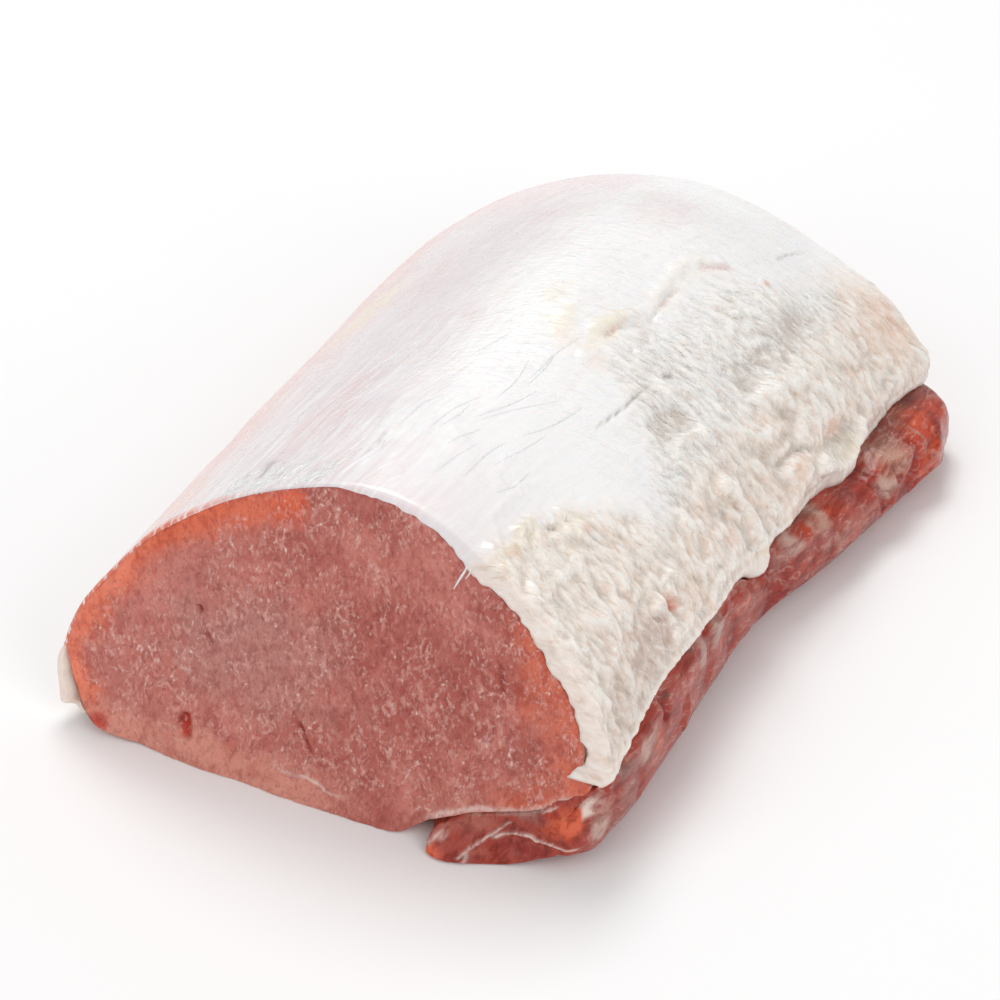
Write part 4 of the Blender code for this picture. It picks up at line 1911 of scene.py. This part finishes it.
        bead = ease(-19, -14, up - girth + 2 * fine) * ease(60, 20, back)
        skin.lay(Tint.FAT_CREAM, bead * 0.95)
        fat_tone = Paint(len(spots), Tint.FAT_CREAM)
        fat_tone.lay(Tint.FAT_WHITE, white * 0.95)
        fat_tone.lay(Tint.FAT_PEACH, wall * ease(-0.4, 0.3, wander) * (1 - 0.4 * front) * 0.8)
        # painted shade and highlights: the fat is lightened on the tops of its relief and greyed in its
        # hollows, both broad and fine
        fat_tone.lay(Tint.FAT_CREST, ease(0.12, 0.6, local) * 0.6)
        fat_tone.lay(Tint.FAT_SHADE, ease(-0.12, -0.8, local) * 0.55)
        fat_tone.lay(Tint.FAT_SHADE, ease(-0.02, -0.16, crisp) * 0.42)
        fat_tone.lay(Tint.FAT_SHINE, ease(0.02, 0.14, crisp) * 0.6)
        for patch in FAT_PATCHES + RIDGE_PATCHES:
            fat_tone.lay(patch.tint, patch.strength(spots, fine))
        low = self.relief.rim_at(back)[0]
        # the rim's lip turns light cream: its creamy fat, and a painted highlight on the rounded lip
        fat_tone.lay(Tint.FAT_CREST, ease(1.6, 0.4, up - low + 0.4 * fine) * 0.8)
        fat_tone.lay(Tint.FAT_ROLL, ease(2.6, 0.6, back + 0.5 * fine) * 0.8)
        tone = Paint(len(spots), Tint.SKIN)
        tone.tone = skin.tone + thick[:, None] * (fat_tone.tone - skin.tone)
        tone.lay(Tint.STRAND, np.clip(-sculpt(self.relief.skin_strokes, spots, noise) * 1.8, 0, 0.85))
        tone.keep(sheet)
        paint(sheet, "fat", thick)
        near_front = ease(80, 40, back) * ease(70, 95, up)
        paint(sheet, "fibrous", (1 - thick) * (1 - bead) * (0.35 + 0.65 * near_front))
        paint(sheet, "wrinkled", np.clip(thick * (0.6 + 0.4 * white) + 0.4 * white * (1 - thick), 0, 1))

    def keep_places(self, sheet: Piece, spots: Array) -> None:
        """Keeps the place on the wrap as the sheet's UV map.

        Args:
            sheet: the cover.
            spots: place of each vertex.
        """
        for old in list(sheet.data.uv_layers):
            sheet.data.uv_layers.remove(old)
        layer = sheet.data.uv_layers.new(name="wrap")
        corner = np.empty(len(sheet.data.loops), dtype=np.int32)
        sheet.data.loops.foreach_get("vertex_index", corner)
        layer.data.foreach_set("uv", (spots / UV_UNIT)[corner].astype(np.float32).ravel())

    def close(self, sheet: Piece, inner: Array, share: Array) -> None:
        """Closes the cover with a coarse inner face bridged to its turned-in edges.

        Args:
            sheet: the cover.
            inner: inner points, rows by columns.
            share: share of the length of each row.
        """
        inset = self.inset / SECTIONS.length
        rows = np.unique(np.linspace(6, len(share) - 7, 36).astype(int))
        columns = np.unique(np.linspace(self.lip + 4, inner.shape[1] - self.lip - 3, 44).astype(int))
        lining, column, row = new_sheet("lining", len(columns) - 1, len(rows) - 1)
        spot = inner[rows[row], columns[column]]
        place = SECTIONS.placed(spot[:, 0], spot[:, 1], np.clip(share[rows[row]], inset, 1 - inset))
        write_points(lining, place)
        fresh_start()
        lining.select_set(True)
        sheet.select_set(True)
        bpy.context.view_layer.objects.active = sheet
        bpy.ops.object.join()
        bpy.ops.object.mode_set(mode="EDIT")
        bpy.ops.mesh.select_mode(type="EDGE")
        bpy.ops.mesh.select_all(action="DESELECT")
        bpy.ops.mesh.select_non_manifold(extend=False, use_wire=False, use_boundary=True,
                                         use_multi_face=False, use_non_contiguous=False, use_verts=False)
        bpy.ops.mesh.bridge_edge_loops()
        bpy.ops.object.mode_set(mode="OBJECT")


# ---- side strap


@dataclass
class SideStrap(Log):
    """The wedge of darker meat under the eye muscle's heel."""

    around: int = 190
    face_rings: int = 90
    side_rings: int = 330
    back_rings: int = 24
    edge: float = 1.6
    half_width: float = 14.0
    round_steps: int = 4
    felt_outlines: int = 39
    middle: Pair = (50.0, 5.5)
    # colours of the outer side, by distance from the front cut and height; the near-black patches and the
    # dark grey ones are painted shade in the crevices under the fat's rim, in a deep crease and in a hole
    side_patches: tuple[Patch, ...] = patch_table(
        (Tint.FAT_CREAM, 2.5, 15.5, 3.0, 3.0, 0.9), (Tint.VEIL, 4.5, 10.5, 2.4, 6, 0.85, -8),
        (Tint.LILAC, 13.5, 9, 7, 9, 0.8), (Tint.ASH, 12, 19, 5, 3, 0.7),
        (Tint.DARK_RED, 5.8, 17.2, 2.0, 1.6, 0.9), (Tint.DARK_RED, 3.8, 14.8, 1.3, 1.1, 0.8),
        (Tint.VEIL, 21, 18, 7, 4.5, 0.75), (Tint.ORANGE, 27.5, 14, 4.5, 4.5, 0.55),
        (Tint.RUST, 26, 6, 6, 4, 0.5), (Tint.CRIMSON, 34, 17, 5.5, 6, 0.85),
        (Tint.DARK_RED, 33, 18.5, 2.6, 2.6, 0.75), (Tint.SHADE, 31.5, 23.5, 3.0, 1.6, 0.9),
        (Tint.STRAP, 45, 13, 8, 8, 0.7), (Tint.VEIL, 53, 21, 4.5, 5.5, 0.7, -20),
        (Tint.VEIL, 50.5, 14, 1.4, 5, 0.45, -20), (Tint.ASH, 49, 25, 6, 2.2, 0.75),
        (Tint.VEIL, 63, 20, 6, 5.5, 0.85), (Tint.RUST, 65.7, 14.5, 4.2, 3.6, 0.8),
        (Tint.ORANGE, 66.5, 15, 2.0, 1.8, 0.6), (Tint.ASH, 62, 25, 7, 2.0, 0.7),
        (Tint.STRAP, 80, 12, 9, 8, 0.8), (Tint.ORANGE, 80.5, 16.5, 2.4, 2.2, 0.7),
        (Tint.DUSTY, 91, 13, 6, 5, 0.7), (Tint.CRIMSON, 94, 7, 7, 5, 0.7),
        (Tint.ASH, 98.5, 15, 4, 4, 0.85), (Tint.VEIL, 103, 18, 5, 4.5, 0.8),
        (Tint.RUST, 109.5, 19, 3.2, 2.6, 0.85), (Tint.BEIGE, 115, 19.5, 5, 4, 0.8),
        (Tint.RUST, 122.5, 18.6, 5.5, 3.0, 0.95), (Tint.LILAC, 118, 13, 8, 5, 0.6),
        (Tint.DUSTY, 127, 11, 12, 6, 0.7), (Tint.CRIMSON, 121, 5, 14, 4, 0.75),
        (Tint.VEIL, 142.5, 13, 4.2, 5.5, 0.85), (Tint.SHADE, 141.0, 17.4, 1.8, 1.8, 0.95),
        (Tint.BEIGE, 148, 17.5, 8, 5, 0.75), (Tint.DUSTY, 150, 11, 7, 5, 0.6),
        (Tint.RUST, 149, 4, 10, 4, 0.7), (Tint.VEIL, 156, 14, 1.1, 7, 0.6, -14),
        (Tint.RUST, 164, 13, 8, 12, 1.0, -22), (Tint.FLAME, 161, 9, 2.6, 5, 0.7, -22),
        (Tint.FLAME, 168, 17, 5, 4, 0.7), (Tint.VEIL, 162.5, 15, 0.9, 5, 0.45, -18),
        (Tint.RUST, 178, 12, 8, 10, 0.8), (Tint.DUSTY, 182, 6, 5, 5, 0.7),
    )
    # colours of the front cut, by place across and height
    cut_patches: tuple[Patch, ...] = patch_table(
        (Tint.RUST, 57.0, 11.5, 7.5, 5.0, 1.0), (Tint.ORANGE, 58.5, 12.5, 4.5, 3.6, 0.75),
        (Tint.FLAME, 31.0, 1.2, 5, 2.2, 0.95), (Tint.DUSTY, 31, 6.0, 5, 2.4, 0.9),
        (Tint.CRIMSON, 49, 4.4, 11, 3.0, 0.95), (Tint.DARK_RED, 51, 4.0, 7, 1.2, 0.6),
        (Tint.DUSTY, 40, 2.4, 4, 1.8, 0.7), (Tint.DUSTY, 39, 8.0, 6, 2.6, 0.8),
        (Tint.LILAC, 50, 11.8, 5, 2.0, 0.8), (Tint.FAT_CREAM, 64.0, 14.5, 2.4, 3.4, 0.95),
        (Tint.VEIL, 64.4, 9, 1.8, 5, 0.8),
    )
    cut_seams: tuple[Stroke, ...] = (
        Stroke(((28.8, 3.4), (30.0, 2.7), (31.4, 4.2), (33.6, 4.0)), 0.42, 0.9, 0.4, 0.1),
        Stroke(((45.6, 9.6), (42.4, 6.3), (39.7, 3.9), (36.9, 1.0)), 0.26, 0.9, 0.5, 0.05),
        Stroke(((38.4, 2.8), (38.6, 1.2), (38.0, 0.2)), 0.28, 0.9, 0.3, 0.1),
        Stroke(((41.8, 5.4), (45, 6.6), (49.1, 7.8), (53.2, 7.3), (57.9, 6.6), (62.2, 6.6)),
               0.36, 0.9, 0.5, 0.08),
        Stroke(((27.0, 5.2), (36, 8.4), (43, 10.6), (48, 11.8), (52, 13.4), (56, 15.6)),
               0.40, 0.8, 0.5, 0.08),
    )
    cut_swells: tuple[Stroke, ...] = (
        Stroke(((54.5, 10.6), (59.5, 11.6)), 3.2, 0.9, 0.4, 0.0),
        Stroke(((29.5, 1.4), (33, 1.2)), 2.4, 0.7, 0.4, 0.0),
        Stroke(((45, 3.6), (55, 4.4)), 1.6, -0.7, 0.4, 0.1),
    )
    # creases and swellings of the outer side, by distance from the front cut and height
    side_strokes: tuple[Stroke, ...] = (
        Stroke(((7, 20), (9, 14), (10, 5)), 1.2, -0.6, 0.8, 0.15),
        Stroke(((18, 22), (19, 15), (18, 6)), 1.6, -0.5, 0.8, 0.15),
        Stroke(((29, 25), (31, 22), (31, 17)), 1.1, -1.4, 0.6, 0.15),
        Stroke(((57, 25), (58, 18), (56, 8)), 2.4, -1.0, 0.8, 0.15),
        Stroke(((72, 22), (74, 16), (73, 6)), 2.6, -0.8, 0.8, 0.15),
        Stroke(((96, 20), (98, 13), (99, 3)), 4.5, -2.2, 0.8, 0.1),
        Stroke(((95, 18), (96, 13)), 1.0, -1.2, 0.6, 0.1),
        Stroke(((112, 21), (113, 15), (111, 8)), 1.8, -0.6, 0.8, 0.2),
        Stroke(((137, 20), (139.5, 15), (142.5, 9), (146, 4)), 1.0, -1.8, 0.5, 0.1),
        Stroke(((147, 17), (148.0, 13), (148, 8)), 0.9, -1.2, 0.5, 0.12),
        Stroke(((157, 20), (158, 13), (155, 5)), 1.3, -1.0, 0.5, 0.12),
        Stroke(((152, 12), (160, 3)), 5.0, -1.8, 0.6, 0.1),
        Stroke(((141, 17.6), (141.5, 16.8)), 1.1, -1.6, 0.2, 0.0),
        Stroke(((144, 15), (145.5, 11), (144.5, 7)), 1.9, 1.3, 0.5, 0.1),
        Stroke(((42, 13), (50, 14)), 6.0, 1.0, 1.0, 0.1),
        Stroke(((118, 11), (132, 11)), 6.0, 1.2, 1.0, 0.2),
        Stroke(((148, 17), (151, 15)), 3.5, 1.0, 1.0, 0.1),
        Stroke(((166, 14), (169, 5)), 5.0, 1.6, 0.5, 0.1),
    )

    def build(self, wrap: Wrap, relief: WrapRelief, finish: Material) -> None:
        """Models and dresses the strap.

        Args:
            wrap: the cap's outer face.
            relief: relief of that face.
            finish: material.
        """
        ball, spoke, ring = self.new_log("strap")
        probe = Probe("side_strap")
        angles = np.arange(0, 360.0, 1.0)
        felt = np.linspace(0, 1, self.felt_outlines)
        lines = np.array([self.evened(probe.outline(s, self.middle, angles)) for s in felt])
        out, share = self.share_of_ring()
        rows, outward = self.rows_at(lines, share)
        rows[..., 1] += ease(0.0, 0.5, outward[..., 1]) * SECTIONS.heel_lift(rows[..., 0], share[:, None])
        outward = outward[ring, spoke]
        rows = self.tucked(rows, share, wrap, relief)
        middle = np.array(self.middle)
        spots = middle + out[ring][:, None] * (rows[ring, spoke] - middle)
        across, up = spots.T
        raised = np.interp(across, (46, 50, 54, 57, 60, 64), (0, 1.1, 3.0, 3.2, 2.2, 0.6))
        up += raised * ease(10, 0, up) * ease(24, 4, share[ring] * SECTIONS.length)
        place = SECTIONS.placed(across, up, share[ring])
        noise = Noise(91)
        solid = place / MM
        side = ease(-0.3, 0.4, outward[:, 0]) * ease(0.2, 1.0, out[ring])
        on_side = np.column_stack([share[ring] * SECTIONS.length, up])
        folds = noise.folds(solid + 40, (8, 20, 8), 2, 0.4)
        lumps = 0.55 * noise.layers(solid, (10, 18, 9), 2) + 0.3 * folds - 0.3
        lumps += sculpt(self.side_strokes, on_side, noise)
        whole = SECTIONS.length
        lift = side * lumps * ease(0, 3.5, on_side[:, 0]) * ease(whole, whole - 4, on_side[:, 0])
        lift *= ease(0.0, 9.0, up)
        place[:, 0] += MM * lift * np.clip(outward[:, 0], 0, 1)
        place[:, 2] += MM * lift * outward[:, 1] * 0.4
        front, back = (end.astype(float) for end in self.ends(ring))
        seams = sculpt(self.cut_seams, spots, noise) * front
        cut = 0.5 * noise.layers(solid, 6.0, 2) + 0.10 * noise.layers(solid, 1.6, 2) + 0.55 * seams
        cut = cut + sculpt(self.cut_swells, spots, noise) * front
        cut = cut * ease(1.0, 0.85, out[ring])
        place[:, 1] -= MM * cut * front
        place[:, 1] += MM * cut * back
        place[:, 2] = np.clip(place[:, 2], 0.0, None)
        write_points(ball, place)
        wander = noise.layers(solid, 5.0, 3)
        tone = Paint(len(spots), Tint.STRAP)
        tone.lay(Tint.CRIMSON, ease(-0.2, 0.4, noise.layers(solid + 20, (9, 16, 9), 3)) * 0.6)
        for patch in self.side_patches:
            tone.lay(patch.tint, patch.strength(on_side, wander) * side * (1 - front))
        # painted shade: dark red in the low places of the side's relief, its creases and hollows
        tone.lay(Tint.DARK_RED, side * ease(-0.3, -1.2, lumps) * 0.6 * (1 - front))
        for patch in self.cut_patches:
            tone.lay(patch.tint, patch.strength(spots, 0.8 * wander) * front)
        tone.lay(Tint.MEMBRANE, np.clip(seams, 0, 1) * 0.95)
        rim = wrap.outline(relief.rim_at(share * SECTIONS.length)[0][:, None], share)[ring, 0]
        # painted shade: a dark band just under the fat's rim, where the rim shades the strap's side
        tone.lay(Tint.SHADE, ease(-2.6, -0.8, up - rim[:, 1]) * side * (1 - front) * 0.85)
        tone.keep(ball)
        paint(ball, "veiled", side * (1 - front) * 0.9 + 0.15)
        point_outwards(ball)
        hand_over(ball, finish, ("side_strap",))

    def tucked(self, rows: Array, share: Array, wrap: Wrap, relief: WrapRelief) -> Array:
        """Draws the strap's upper outer corner up under the rim of the fat.

        Args:
            rows: outlines, row by row.
            share: share of the length of each row.
            wrap: the cap's outer face.
            relief: relief of that face.

        Returns:
            Outlines with the corner drawn up.
        """
        low, hang = relief.rim_at(share * SECTIONS.length)
        rim = wrap.outline(low[:, None], share)[:, 0]
        across, up = rows[..., 0], rows[..., 1]
        corner = np.where(across > 56, up, 0).max(axis=1)
        weight = ease(57.0, 60.5, across) * ease(7, 13, up)
        gap = np.clip(rim[:, 1] - hang - corner + 1.2, 0, 12)
        drawn = rows.copy()
        drawn[..., 1] += gap[:, None] * weight
        tip = ease(0.35, 1.0, (drawn[..., 1] - corner[:, None]) / np.maximum(gap, 1)[:, None])
        drawn[..., 0] += (rim[:, 0, None] - 1.8 - drawn[..., 0]) * tip * weight
        return softened(drawn, 1.5, 1)

    def evened(self, line: Array) -> Array:
        """Spreads an outline's points, closer together on the outer side.

        Args:
            line: outline by angle.

        Returns:
            The outline with the strap's number of points.
        """
        closed = np.vstack([line, line[:1]])
        step = np.hypot(*np.diff(closed, axis=0).T)
        weight = 1.0 + 2.5 * ease(50, 60, closed[:-1, 0])
        run = np.concatenate([[0], np.cumsum(step * weight)])
        steps = np.linspace(0, run[-1], self.around + 1)[:-1]
        return on_line(steps, run, closed)


# ---- strands


class Side(Enum):
    """From which side a strand is laid on the roast, and so what its places mean."""

    FRONT = "across and height"
    WRAP = "up from the rim and distance from the front cut"


@dataclass(frozen=True)
class Strand:
    """One strand, tapered to both ends."""

    side: Side
    path: tuple[Pair, ...]
    width: float
    thick: float
    tint: Tint
    lift: float = 0.05


@dataclass(frozen=True)
class Fray:
    """A set of fine fibres, with the limits that each one's numbers are drawn between."""

    count: int
    up: Pair
    start: Pair
    length: Pair
    slant: Pair
    sway: float
    width: Pair
    thick: float
    lift: float


@dataclass
class Strands:
    """Fine strands of membrane that lie on the finished pieces."""

    wrap: Wrap
    pieces: tuple[str, ...] = ("eye_muscle", "fat_cover", "strap")
    around: int = 8
    rings: int = 18
    # how far outside the roast a place is felt for from, and how far the feeling goes, in metres
    reach: float = 0.015
    feel: float = 0.06
    # thickest at the front cut's upper edge, and thin further over the crown
    frays: tuple[Fray, ...] = (
        Fray(54, (96, 124), (-1.6, 1.5), (5, 15), (-0.45, -0.05), 0.6, (0.13, 0.32), 0.12, 0.02),
        Fray(26, (62, 112), (8, 60), (8, 22), (-0.5, 0.05), 1.0, (0.10, 0.20), 0.08, 0.0),
    )
    placed_strands: tuple[Strand, ...] = (
        # tag over the front cut's upper edge
        Strand(Side.FRONT, ((29.9, 64.4), (29.4, 62.2), (28.2, 59.6), (27.0, 56.8)), 0.26, 0.14, Tint.FIBRE),
        Strand(Side.FRONT, ((30.6, 63.6), (30.4, 61.8), (29.4, 59.8)), 0.16, 0.10, Tint.FIBRE),
    )

    def build(self, finish: Material) -> None:
        """Models and dresses the strands.

        Args:
            finish: their material.
        """
        strands = self.placed_strands + self.frayed()
        self.trees = [self.tree_of(bpy.data.objects[name]) for name in self.pieces]
        first, spoke, ring = new_ball("strands", self.around, self.rings)
        copies = [first]
        for _ in strands[1:]:
            copy = first.copy()
            copy.data = first.data.copy()
            bpy.context.scene.collection.objects.link(copy)
            copies.append(copy)
        for piece, strand in zip(copies, strands):
            write_points(piece, self.points(strand, spoke, ring))
            Paint(len(ring), strand.tint).keep(piece)
        fresh_start()
        for piece in copies:
            piece.select_set(True)
        bpy.context.view_layer.objects.active = first
        bpy.ops.object.join()
        point_outwards(first)
        hand_over(first, finish, ())

    def tree_of(self, piece: Piece) -> BVHTree:
        """The surface of a finished piece, ready to be felt for.

        Args:
            piece: the piece.

        Returns:
            Its surface.
        """
        piece.data.calc_loop_triangles()
        corners = [vert.co.copy() for vert in piece.data.vertices]
        return BVHTree.FromPolygons(corners, [tuple(t.vertices) for t in piece.data.loop_triangles])

    def frayed(self) -> tuple[Strand, ...]:
        """Draws the silverskin's fine fibres.

        Returns:
            The fibres, set by set.
        """
        rng = np.random.default_rng(17)
        made = []
        for fray in self.frays:
            for _ in range(fray.count):
                up, start = rng.uniform(*fray.up), rng.uniform(*fray.start)
                length, slant = rng.uniform(*fray.length), rng.uniform(*fray.slant)
                sway = rng.uniform(-fray.sway, fray.sway)
                path = ((up, start), (up + slant * length / 2 + sway, start + length / 2),
                        (up + slant * length, start + length))
                width = rng.uniform(*fray.width)
                made.append(Strand(Side.WRAP, path, width, fray.thick, Tint.FIBRE, fray.lift))
        return tuple(made)

    def touch(self, start: Vector, heading: Vector) -> tuple[Vector, Vector]:
        """First point of the roast met on the way.

        Args:
            start: place outside the roast.
            heading: direction, of unit length.

        Returns:
            The point and the surface's direction there, or the nearest point where nothing is met.
        """
        best, found = math.inf, None
        for tree in self.trees:
            spot, normal, _, far = tree.ray_cast(start, heading, self.feel)
            if spot is not None and far < best:
                best, found = far, (spot, normal if normal.dot(heading) < 0 else -normal)
        if found is None:
            goal = start + heading * self.reach
            hits = (tree.find_nearest(goal) for tree in self.trees)
            found = min(hits, key=lambda hit: hit[3])[:2]
        return found

    def start_of(self, side: Side, first: float, second: float) -> tuple[Vector, Vector]:
        """Where to feel from for a place.

        Args:
            side: what the place's numbers mean.
            first: its first number.
            second: its second number.

        Returns:
            A place outside the roast, and the direction to feel in.
        """
        if side is Side.FRONT:
            spot = SECTIONS.placed(np.array(first), np.array(second), np.array(0.0))
            return Vector(spot) - Vector((0, self.reach, 0)), Vector((0, 1, 0))
        share = np.array([np.clip(second / SECTIONS.length, 0.003, 0.997)])
        ups = np.array([[first - 0.5, first, first + 0.5]])
        line = self.wrap.outline(ups, share)[0]
        run = line[2] - line[0]
        out = np.array([run[1], -run[0]]) / np.hypot(*run)
        far = line[1] + self.reach / MM * out
        start = Vector(SECTIONS.placed(far[0], far[1], share[0]))
        goal = Vector(SECTIONS.placed(line[1][0], line[1][1], share[0]))
        if second < 0:
            down = goal - (start - goal).normalized() * (-second * MM)
            return down - Vector((0, self.reach, 0)), Vector((0, 1, 0))
        return start, (goal - start).normalized()

    def points(self, strand: Strand, spoke: Array, ring: Array) -> Array:
        """Points of a strand laid on the roast.

        Args:
            strand: the strand.
            spoke: spoke of each vertex.
            ring: ring of each vertex.

        Returns:
            Points in metres.
        """
        path = smooth_path(np.array(strand.path), 12)
        share = np.linspace(0, len(path) - 1, self.rings + 1)
        places = on_line(share, np.arange(len(path)), path)
        found = [self.touch(*self.start_of(strand.side, *place)) for place in places]
        middle = softened(np.array([spot for spot, _ in found]), 1.0, 0)
        normal = softened(np.array([way for _, way in found]), 1.5, 0)
        normal /= np.linalg.norm(normal, axis=1, keepdims=True)
        run = np.gradient(middle, axis=0)
        sideways = np.cross(run, normal)
        sideways /= np.linalg.norm(sideways, axis=1, keepdims=True)
        taper = np.sin(np.linspace(0, math.pi, self.rings + 1)) ** 0.6
        turn = math.tau * spoke / self.around
        wide = (strand.width * taper)[ring] * np.cos(turn)
        high = (strand.thick * taper)[ring] * np.sin(turn) + strand.lift
        return middle[ring] + MM * (sideways[ring] * wide[:, None] + normal[ring] * high[:, None])


# ---- the whole roast


def main() -> None:
    """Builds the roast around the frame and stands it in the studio."""
    logging.basicConfig(level=logging.INFO, format="%(message)s")
    studio = Studio()
    studio.camera()
    studio.light()
    studio.floor()
    wrap, relief = Wrap(), WrapRelief()
    EyeMuscle().build(wrap, relief, LeanFinish().make())
    FatCover(wrap, relief).build(WrapFinish().make())
    SideStrap().build(wrap, relief, StrapFinish().make())
    Strands(wrap).build(StrandFinish().make())


if __name__ == "__main__":
    main()
